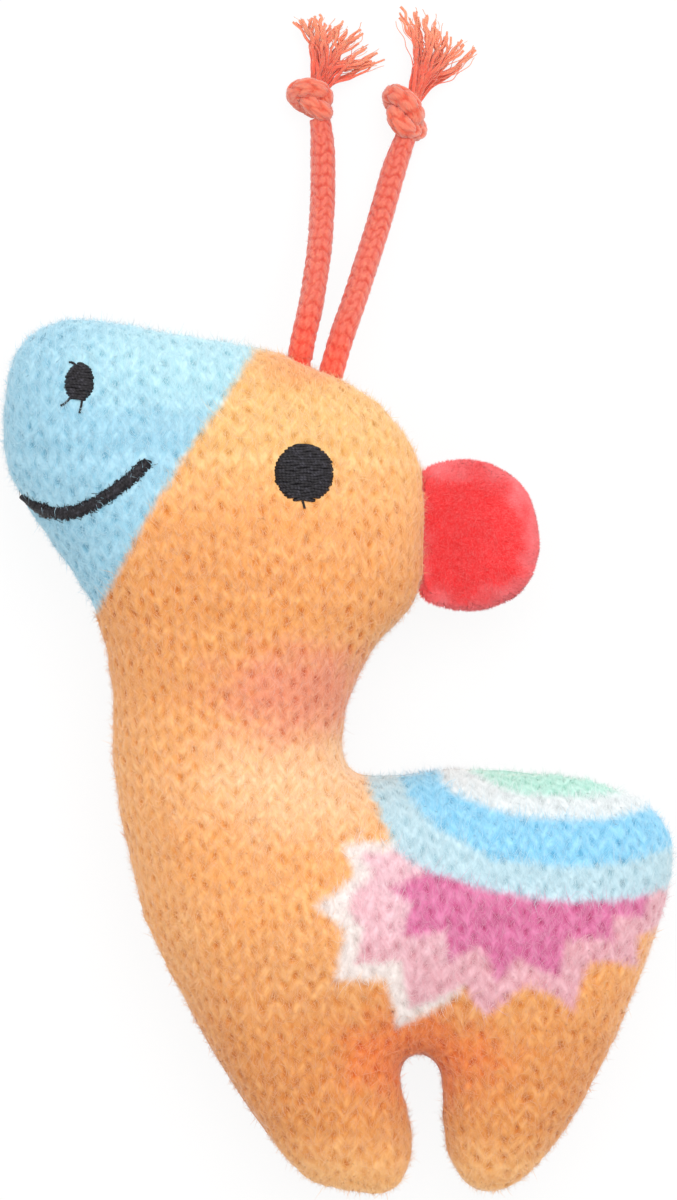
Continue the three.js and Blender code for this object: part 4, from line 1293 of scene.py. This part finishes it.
class TOY_OT_tuft(bpy.types.Operator):
    """Makes the two plush panels of the tuft with their pile"""
    bl_idname = "toy.tuft"
    bl_label = "Plush tuft"

    def execute(self, context):
        tuft = context.scene.toy_tuft
        form = stuffed_form(TUFT_SHARES, TUFT_LINE_STEP, 8, "tuft_left_cover", TUFT_CELL)
        points, quads, fine, fine_quads = half_sheet(form, TUFT_MESH, TUFT_TUCK)
        at_rim = np.clip(fine[:, 2] / RIM_FADE, 0, 1)
        lumps = TUFT_LUMP * at_rim * ripple(fine, TUFT_LUMP_SIZE, 6)
        dressed = fine + normals_of(fine, fine_quads) * lumps[:, None]
        dressed[:, 2] = np.maximum(dressed[:, 2], 0)
        every, faces, shown = lined(points, quads, dressed, fine_quads, TUFT_THICKNESS, TUFT_ALLOWANCE)
        normals = normals_of(dressed, fine_quads)
        for name, side in SIDES:
            rng = np.random.default_rng(31 + side)
            values = self.shades(form, every)
            values["chance"] = np.zeros(len(every))
            piece = make_piece(
                "tuft_" + name + "_plush", panel_points(every, side), turned_faces(faces, side),
                plush_material("plush_ground", 0.0), values, shown * (1, 1, side))
            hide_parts("tuft_" + name + "_cover")
            self.hang(piece)
            roots, normal = picked(dressed, fine_quads, normals, tuft.fibres, rng)[2:]
            across, upward = cloth_axes(normal)
            flow = 0.6 * ripple(roots, PILE_FLOW_SIZE, 7) + 0.35 * rng.normal(size=len(roots))
            flow = math.pi * flow[:, None]
            steep = 1 - np.clip(normal[:, 2:] / 0.6, 0, 1)
            direction = unit(np.cos(flow) * across + np.sin(flow) * upward + (0.5 + steep) * normal)
            length = tuft.pile * rng.uniform(0.75, 1.15, tuft.fibres)
            facing = unit(normal + 0.15 * direction + 1.5 * upward_share(normal) * (0, 0, 1))
            made, pile_faces = ribbons(roots, direction, facing, length, PILE_WIDTH, 0.2, rng)
            made[:, 2] = np.maximum(made[:, 2], -PILE_BELOW_SEAM)
            values = {key: np.repeat(column, 5) for key, column in self.shades(form, roots).items()}
            values["chance"] = np.repeat(rng.uniform(size=tuft.fibres), 5)
            facing = np.repeat(facing, 5, axis=0) * (1, 1, side)
            pile = make_piece(
                "tuft_" + name + "_pile", panel_points(made, side), turned_faces(pile_faces, side),
                plush_material("plush_pile", 0.14), values, facing)
            self.hang(pile)
        return {"FINISHED"}

    def hang(self, piece):
        """Bakes the piece's placement into its points."""
        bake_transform(piece)

    def shades(self, form, points):
        # How much painted sheen each place gets: more towards the outline, in uneven patches
        depth = form.sample(form.distance, points[:, 0], points[:, 1])
        patches = 0.25 * ripple(points[:, :2], PATCH_SIZE, 9) + 0.14 * ripple(points[:, :2], SPECK_SIZE, 10)
        return {"rim": np.clip(0.85 - depth / RIM_REACH + patches, 0, 0.85)}


class TOY_OT_fillings(bpy.types.Operator):
    """Makes the lumps of fibre that fill the toy and its tuft"""
    bl_idname = "toy.fillings"
    bl_label = "Fibre fillings"

    def execute(self, context):
        names = ["head", "neck", "torso", "front_leg", "rear_leg", "tuft"]
        for seed, name in enumerate(names):
            node = frame["nodes"][name + "_filling"]
            body = "tuft" if name == "tuft" else "toy"
            source = bpy.data.objects.new(name + "_lump", node.data.copy())
            context.scene.collection.objects.link(source)
            modifier = source.modifiers.new("Remesh", "REMESH")
            modifier.mode = "VOXEL"
            modifier.voxel_size = TUFT_FILLING_CELL if name == "tuft" else FILLING_CELL
            shape = bpy.data.meshes.new_from_object(source.evaluated_get(context.evaluated_depsgraph_get()))
            bpy.data.objects.remove(source)
            points = np.array([v.co for v in shape.vertices])
            normals = np.array([v.normal for v in shape.vertices])
            middle = points.mean(axis=0)
            points = middle + (points - middle) * 0.975
            lumps = FILLING_LUMP * ripple(points, FILLING_LUMP_SIZE, 40 + seed) - FILLING_GAP
            points += normals * lumps[:, None]
            faces = [np.array([p.vertices for p in shape.polygons if len(p.vertices) == 4])]
            piece = make_piece(name + "_fibre_filling", points, faces, filling_material())
            bpy.data.meshes.remove(shape)
            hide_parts(name + "_filling")
            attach(piece, body)
        return {"FINISHED"}


# The face

class TOY_OT_face(bpy.types.Operator):
    """Embroiders the eye, the nostril and the mouth on each side"""
    bl_idname = "toy.face"
    bl_label = "Embroidered face"

    def execute(self, context):
        thread = context.scene.toy_thread
        eye, nostril = placed([EYE_SHARES, NOSTRIL_SHARES])
        eye_half = (thread.eye / 2, thread.eye / 2)
        for name, side in SIDES:
            rng = np.random.default_rng(50 + side)
            pieces = {
                "eye": self.patch(thread, rng, eye, eye_half, 0.0, EYE_FLOOR_SHARE, EYE_CROWN),
                "nostril": self.patch(
                    thread, rng, nostril, NOSTRIL_HALF, NOSTRIL_TILT, NOSTRIL_FLOOR_SHARE, NOSTRIL_CROWN),
                "mouth": self.mouth(thread, rng),
            }
            pieces["eye"] += self.tails(eye, EYE_TAILS)
            pieces["nostril"] += self.tails(nostril, NOSTRIL_TAILS)
            panel = bpy.data.objects[name + "_knit_panel"].evaluated_get(context.evaluated_depsgraph_get())
            for part, lines in pieces.items():
                made = []
                for line, radius in lines:
                    found = self.laid(line, panel, side, radius)
                    if len(found) > 2:
                        made.append(tube(found, radius, 8))
                points, quads, values = joined(made)
                piece = make_piece(
                    name + "_" + part + "_stitching", points, [quads], thread_material(), values)
                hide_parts(name + "_" + part)
                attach(piece, "toy")
        return {"FINISHED"}

    def laid(self, line, panel, side, radius):
        """The part of a line of (x, y, lift) points that finds the outside of a panel, laid on it."""
        found = []
        toward = Vector((0, 0, -side))
        for x, y, lift in line.tolist():
            hit, place, normal, _ = panel.ray_cast(Vector((x, y, SEAM_HEIGHT)) - toward, toward)
            if hit:
                found.append(place + normal * lift)
        if len(found) < 3:
            return found
        found = np.array(found)
        found[:, 2] = np.maximum(found[:, 2], radius)
        return softened(found, 2, False)

    def patch(self, thread, rng, centre, half, tilt, floor_share, crown):
        """Rows of thread that fill an oval, highest in its middle."""
        half_width, half_height = half
        pitch = thread.thickness * 0.66
        rows = int(half_height / pitch)
        lines = []
        turn = np.array([[math.cos(tilt), math.sin(tilt)], [-math.sin(tilt), math.cos(tilt)]])
        for row in range(-rows, rows + 1):
            level = row * pitch / half_height
            if abs(level) >= 1 or level < floor_share:
                continue
            end = half_width * math.sqrt(1 - level * level) + rng.normal(0, ROW_END_SPREAD)
            x = np.linspace(-end, end, max(int(end / ROW_STEP), 4))
            bow = 1 - (x / half_width) ** 2 - level ** 2
            start = rng.uniform(0, math.tau)
            y = level * half_height + ROW_WAVE * np.sin(x / ROW_WAVE_ACROSS + start)
            lift = ROW_LIFT + crown * np.clip(bow, 0, 1) ** 0.6
            lift += ROW_WAVE * np.sin(x / ROW_WAVE_UPWARD + 2 * start)
            lift[[0, -1]] -= ROW_END_DIP
            plane = np.stack([x, y], axis=1) @ turn + centre
            lines.append((np.column_stack([plane, lift]), thread.thickness / 2 * rng.uniform(0.92, 1.08)))
        return lines

    def tails(self, centre, routes):
        lines = []
        for route in routes:
            plane = centre + softened(resampled(np.array(route) * MM, TAIL_STEP, False), 3, False)
            lift = np.full(len(plane), TAIL_LIFT)
            lines.append((np.column_stack([plane, lift]), TAIL_RADIUS))
        return lines

    def mouth(self, thread, rng):
        """Short stitches side by side across the smile, with uneven ends."""
        middle = softened(resampled(placed(MOUTH_SHARES), STITCH_SPACING, False), 30, False)
        heading = unit(np.gradient(middle, axis=0))
        across = np.stack([-heading[:, 1], heading[:, 0]], axis=1)
        from_start = np.arange(len(middle)) * STITCH_SPACING
        uneven = 1 + 0.1 * ripple(from_start[:, None], MOUTH_UNEVEN_SIZE, 12)
        to_end = from_start[::-1]
        opening = np.clip(0.14 + from_start / MOUTH_OPENING, 0, 1)
        closing = np.sqrt(np.clip(0.25 + to_end / MOUTH_CLOSING, 0, 1))
        widths = opening * closing * uneven * thread.mouth
        hair_lift = np.linspace(0.3, 0.05, 5) * MM
        lines = []
        for place, aside, ahead, width in zip(middle, across, heading, widths):
            spread_out = np.linspace(-1, 1, 7)
            upper, lower = width / 2 * rng.normal(1, 0.14, 2)
            reach = np.where(spread_out > 0, spread_out * upper, spread_out * lower)
            sway = rng.normal(0, STITCH_SWAY)
            plane = place + reach[:, None] * aside + (spread_out * sway)[:, None] * ahead
            lift = STITCH_LIFT + STITCH_CROWN * (1 - spread_out ** 2) + rng.normal(0, STITCH_LIFT_SPREAD)
            lines.append((np.column_stack([plane, lift]), STITCH_RADIUS))
            for end, outward in ((plane[0], -aside), (plane[-1], aside)):
                if rng.uniform() < 0.4:
                    lean = outward + rng.normal(0, 1.2) * ahead
                    away = np.linspace(0, rng.uniform(*HAIR_REACH) * MM, 5)[:, None]
                    hair = end - HAIR_SET_BACK * outward + away * lean
                    lines.append((np.column_stack([hair, hair_lift]), HAIR_RADIUS))
        return lines


# The cords

def braid_relief(plait, columns, depth):
    """Columns of V-shaped plaits round a cord, drawn unevenly tight."""
    def relief(around, reach):
        drift = 0.016 * np.sin(1.1 * reach / plait) + 0.011 * np.sin(2.3 * reach / plait + 1)
        column = (around + drift) * columns * 2 - 0.5 * columns + 0.5
        nearest = np.round(column)
        off = column - nearest
        zigzag = np.abs(column % 2 - 1)
        side = nearest % (2 * columns)
        phase = reach / plait - zigzag * 0.55 + 0.14 * np.sin(0.9 * reach / plait + 2.2 * side)
        tightness = 0.45 + 0.8 * scatter(side, np.round(phase))
        valley = np.exp(-((phase - np.round(phase)) / 0.16) ** 2) * tightness
        centre = np.exp(-(off / 0.14) ** 2)
        low = np.clip(valley + 0.45 * centre, 0, 1.3)
        return -depth * low, np.clip(low, 0, 1)
    return relief


def knot_line(thick, spacing):
    """The middle line of an overhand knot, drawn tight by its ends along y until its turns touch."""
    t = np.linspace(math.pi + 0.25, 3 * math.pi - 0.25, 60)
    loops = np.stack([
        np.cos(t) - 2 * np.cos(2 * t), np.sin(t) + 2 * np.sin(2 * t), -1.2 * np.sin(3 * t)], axis=1)
    lead = np.linspace(2, 0.6, 12)[:, None]
    start = loops[0] + lead * (-0.12, -1, -0.15)
    end = loops[-1] + lead[::-1] * (-0.12, 1, 0.15)
    line = resampled(np.concatenate([start, loops, end]) * (-1, 1, 1) * thick / 2, spacing, False)
    count = len(line)
    far = np.abs(np.subtract.outer(np.arange(count), np.arange(count))) * spacing > 1.5 * thick
    for _ in range(1000):
        line[0, 1] -= 0.08 * thick
        line[-1, 1] += 0.08 * thick
        line[[0, -1], 0] *= 0.97
        line[[0, -1], 2] *= 0.97
        line[1:-1] += 0.12 * (line[:-2] + line[2:] - 2 * line[1:-1])
        for _ in range(3):
            for parity in (0, 1):
                a, b = line[parity:-1:2], line[parity + 1::2]
                step = b - a
                push = step * (1 - spacing / np.linalg.norm(step, axis=1, keepdims=True)) / 2
                a += push
                b -= push
        gap = line[:, None] - line[None]
        reach = np.linalg.norm(gap, axis=2)
        close = far & (reach < thick)
        push = np.where(close, (thick - reach) / np.maximum(reach, 1e-9), 0)[..., None] * gap
        line += 0.25 * push.sum(axis=1)
    return line


def woolly(points, quads, values, count, long, rng):
    """A piece of braid with short fibres on it: its points, its faces and its values."""
    chosen, weights, roots, normal = picked(points, quads, normals_of(points, quads), count, rng)
    direction = unit(normal + rng.normal(0, 0.8, roots.shape))
    made, faces = ribbons(
        roots, direction, normal, long * rng.uniform(0.4, 1, count), WOOL_WIDTH, 0.5, rng)
    made[:, 2] = np.maximum(made[:, 2], FLOOR_GAP)
    grown = {
        key: np.concatenate([column, np.repeat(weighted(column, chosen, weights), 5, axis=0)])
        for key, column in values.items()}
    return np.concatenate([points, made]), [quads] + [group + len(points) for group in faces], grown


def cord_points(cord):
    """The pivot, the place where the cord leaves the crown seam, and the points of its free run."""
    pivot = np.array(cord["pivot"]) * MM
    aim = unit(np.array(cord["aim"], float))
    leaves = pivot - aim * LEAVE_BEHIND
    run = pivot + np.array(cord["route"]) * MM
    return pivot, aim, leaves, np.vstack([leaves, run])


def beside(pivot, place, height):
    """A place that is given in millimetres from the pivot, as seen from above, at its height."""
    return np.array([pivot[0] + place[0] * MM, pivot[1] + place[1] * MM, height])


class TOY_OT_cords(bpy.types.Operator):
    """Makes the two braided cords with their sewn ends, knots and opened yarn"""
    bl_idname = "toy.cords"
    bl_label = "Knotted cords"

    def execute(self, context):
        settings = context.scene.toy_cord
        radius = settings.diameter / 2
        relief = braid_relief(settings.plait, 5, 0.08)
        knot = knot_line(settings.tight * TURN_SHARE, KNOT_STEP)
        for seed, cord in enumerate(CORDS):
            name = cord["name"]
            body = name + "_cord"
            rng = np.random.default_rng(60 + seed)
            pivot, aim, leaves, run = cord_points(cord)
            smooth = softened(resampled(run, CORD_STEP, False), 60, False)
            along = np.arange(len(smooth)) / len(smooth)
            shrink = 1 - 0.16 * np.clip((along - 0.86) / 0.14, 0, 1)
            points, quads, values = tube(smooth, radius * shrink, 60, relief)
            values["from_crown"] = values["strand"][:, 1].copy()
            values["tip"] = np.zeros(len(points))
            free = make_piece(
                name + "_braid", *self.finished(points, quads, values, 5000, rng))
            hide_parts(body)
            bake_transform(free)
            self.sewn(name, leaves, aim, radius, relief)
            tied = self.tied(name, body, cord, pivot, knot, settings.tight / 2, rng)
            frayed = self.frayed(name, body, cord, pivot, rng)
        return {"FINISHED"}

    def finished(self, points, quads, values, count, rng):
        """A braid's points, faces, material and values, with its fibres."""
        points, faces, values = woolly(points, quads, values, count, WOOL_LENGTH, rng)
        return points, faces, cord_material(), values

    def sewn(self, name, leaves, aim, radius, relief):
        """The end that is held in the crown seam."""
        line = np.linspace(leaves - aim * SEWN_REACH, leaves + aim * SEWN_OVERLAP, 36)
        points, quads, values = tube(line, radius * SEWN_SHARE, 60, relief)
        values["from_crown"] = np.zeros(len(points))
        values["tip"] = np.zeros(len(points))
        piece = make_piece(name + "_sewn_braid", points, [quads], cord_material(), values)
        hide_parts(name + "_cord_sewn_end")
        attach(piece, "toy")

    def tied(self, name, body, cord, pivot, knot, radius, rng):
        """The knot, turned as it lies at the end of the cord."""
        line = knot[(knot[:, 1] > -KNOT_BEHIND) & (knot[:, 1] < KNOT_AHEAD)] * cord["knot_share"]
        cosine, sine = math.cos(cord["roll"]), math.sin(cord["roll"])
        about_y = np.array([[cosine, 0, -sine], [0, 1, 0], [sine, 0, cosine]])
        cosine, sine = math.cos(cord["turn"]), math.sin(cord["turn"])
        about_z = np.array([[cosine, sine, 0], [-sine, cosine, 0], [0, 0, 1]])
        line = line @ about_y @ about_z + beside(pivot, cord["knot"], KNOT_HEIGHT)
        line = softened(resampled(line, KNOT_FINE_STEP, False), 40, False)
        relief = braid_relief(KNOT_PLAIT, 4, 0.15)
        points, quads, values = tube(line, radius * cord["knot_share"], 54, relief)
        points[:, 2] = np.maximum(points[:, 2], KNOT_FLOOR_GAP)
        values["from_crown"] = np.full(len(points), KNOT_FROM_CROWN)
        values["tip"] = np.full(len(points), 0.62)
        piece = make_piece(name + "_tied_knot", *self.finished(points, quads, values, 3000, rng))
        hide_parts(name + "_knot")
        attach(piece, body)
        return piece

    def frayed(self, name, body, cord, pivot, rng):
        """The opened yarn: crimped strands that leave the knot as one stem and part, and fine filaments."""
        stem = np.array(cord["stem"]) * MM
        root = beside(pivot, cord["root"], ROOT_HEIGHT)
        inside = beside(pivot, cord["knot"], KNOT_HEIGHT)
        made = []
        for tip in np.array(cord["tips"]) * MM:
            rise = rng.uniform(*STRAND_RISE) * MM
            bow = rng.uniform(-0.08, 0.08, 2) * np.linalg.norm(tip)
            parts = rng.uniform(0.3, 1)
            for strand in range(6):
                thin = strand > 2
                loose = FILAMENT_SPREAD if thin else STRAND_SPREAD
                start = (inside + root) / 2 + rng.uniform(-1, 1, 3) * START_SPREAD
                fused = root + np.append(parts * stem + 0.12 * tip, 0)
                fused += rng.uniform(-1, 1, 3) * STEM_SPREAD
                far = root + np.append(tip * rng.uniform(0.86, 1.02), rise) + rng.normal(0, loose, 3)
                opened = (fused + far) / 2 + np.append(bow, 0) + rng.normal(0, loose / 2, 3)
                line = resampled(np.array([start, fused, opened, far]), STRAND_STEP, False)
                line = softened(line, 10, False)
                share = np.linspace(0, 1, len(line))
                crimp = rng.uniform(*STRAND_CRIMP) * MM * np.clip(share * 2.5 - 0.8, 0, 1)
                turns = share * len(line) * 0.25 * math.tau / rng.uniform(2.2, 3.4) + rng.uniform(0, math.tau)
                line[:, 0] += crimp * np.sin(turns)
                line[:, 2] += crimp * np.cos(turns)
                size = rng.uniform(*(FILAMENT_RADIUS if thin else STRAND_RADIUS))
                radii = size * MM * (1.15 - 0.5 * share)
                line[:, 2] = np.maximum(line[:, 2], radii)
                points, quads, values = tube(line, radii, 6 if thin else 10)
                values["strand"][:, 0] *= size / BRAID_RADIUS
                reach = values["strand"][:, 1]
                values["tip"] = reach / reach.max()
                values["from_crown"] = np.zeros(len(points))
                made.append((points, quads, values))
        points, quads, values = joined(made)
        piece = make_piece(name + "_opened_yarn", points, [quads], cord_material(), values)
        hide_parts(name + "_fray")
        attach(piece, body)
        return piece


# The stage

class TOY_OT_stage(bpy.types.Operator):
    """Sets the floor, the soft light and the camera"""
    bl_idname = "toy.stage"
    bl_label = "Stage"

    def execute(self, context):
        stage = context.scene.toy_stage
        context.scene.view_settings.view_transform = "Standard"
        self.floor()
        self.sky(context, stage)
        middle = Vector((0, stage.middle, SEAM_HEIGHT))
        lamp = bpy.data.lights.new("soft_lamp", "AREA")
        lamp.shape = "DISK"
        lamp.size = LAMP_SIZE
        lamp.energy = stage.lamp
        holder = bpy.data.objects.new("soft_lamp", lamp)
        holder.location = Vector(LAMP_PLACE)
        holder.rotation_euler = (middle - holder.location).to_track_quat("-Z", "Y").to_euler()
        context.scene.collection.objects.link(holder)
        camera = bpy.data.cameras.new("photo_camera")
        camera.lens = stage.lens
        camera.clip_start = NEAREST_SEEN
        watcher = bpy.data.objects.new("photo_camera", camera)
        distance = stage.field * stage.lens / camera.sensor_width
        watcher.location = middle + Vector((0, 0, distance))
        context.scene.collection.objects.link(watcher)
        context.scene.camera = watcher
        return {"FINISHED"}

    def floor(self):
        """A white table top, plain in the picture but for the toy's shadow."""
        corners = ((-1, -1, 0), (1, -1, 0), (1, 1, 0), (-1, 1, 0))
        points = FLOOR_HALF * np.array(corners, float)
        material = bpy.data.materials.new("white_floor")
        material.use_nodes = True
        tree = material.node_tree
        shader = tree.nodes["Principled BSDF"]
        grain = noise(tree, object_place(tree), 60, 2.0)
        pale = mixed(tree, grain, linear((0.965, 0.965, 0.965)), linear((0.975, 0.975, 0.975)))
        tree.links.new(pale, shader.inputs["Base Color"])
        shader.inputs["Roughness"].default_value = 0.9
        glow = add_node(tree, "ShaderNodeEmission", {"Color": (1, 1, 1, 1), "Strength": 1.0})
        seen = add_node(tree, "ShaderNodeLightPath").outputs["Is Camera Ray"]
        share = arithmetic(tree, "MULTIPLY", seen, 0.9)
        blend = add_node(tree, "ShaderNodeMixShader", {0: share, 1: shader.outputs[0], 2: glow.outputs[0]})
        tree.links.new(blend.outputs[0], tree.nodes["Material Output"].inputs["Surface"])
        floor = make_piece("floor", points, [np.array([[0, 1, 2, 3]])], material)

    def sky(self, context, stage):
        world = bpy.data.worlds.new("white_room")
        world.use_nodes = True
        context.scene.world = world
        tree = world.node_tree
        dim = tree.nodes["Background"]
        dim.inputs["Strength"].default_value = stage.sky
        dim.inputs["Color"].default_value = (1, 1, 1, 1)
        bright = add_node(tree, "ShaderNodeBackground", {"Color": (1, 1, 1, 1), "Strength": 1.0})
        path = add_node(tree, "ShaderNodeLightPath").outputs
        seen = arithmetic(tree, "MAXIMUM", path["Is Camera Ray"], path["Is Glossy Ray"])
        blend = add_node(tree, "ShaderNodeMixShader", {0: seen, 1: dim.outputs[0], 2: bright.outputs[0]})
        tree.links.new(blend.outputs[0], tree.nodes["World Output"].inputs["Surface"])


STEPS = [TOY_OT_stage, TOY_OT_cords, TOY_OT_covers, TOY_OT_tuft, TOY_OT_fillings, TOY_OT_face]


class TOY_PT_panel(bpy.types.Panel):
    bl_label = "Giraffe cat toy"
    bl_idname = "TOY_PT_panel"
    bl_space_type = "VIEW_3D"
    bl_region_type = "UI"
    bl_category = "Giraffe toy"

    def draw(self, context):
        for step in STEPS:
            self.layout.operator(step.bl_idname)
        for key, kind in SETTINGS.items():
            box = self.layout.box()
            for name in kind.__annotations__:
                box.prop(getattr(context.scene, key), name)


def register():
    for key, kind in SETTINGS.items():
        bpy.utils.register_class(kind)
        setattr(bpy.types.Scene, key, PointerProperty(type=kind))
    for step in STEPS:
        bpy.utils.register_class(step)
    bpy.utils.register_class(TOY_PT_panel)


def unregister():
    bpy.utils.unregister_class(TOY_PT_panel)
    for step in reversed(STEPS):
        bpy.utils.unregister_class(step)
    for key, kind in reversed(SETTINGS.items()):
        delattr(bpy.types.Scene, key)
        bpy.utils.unregister_class(kind)


def main():
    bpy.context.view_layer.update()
    register()
    bpy.ops.toy.stage()
    bpy.ops.toy.cords()
    bpy.ops.toy.covers()
    bpy.ops.toy.tuft()
    bpy.ops.toy.fillings()
    bpy.ops.toy.face()


if __name__ == "__main__":
    main()
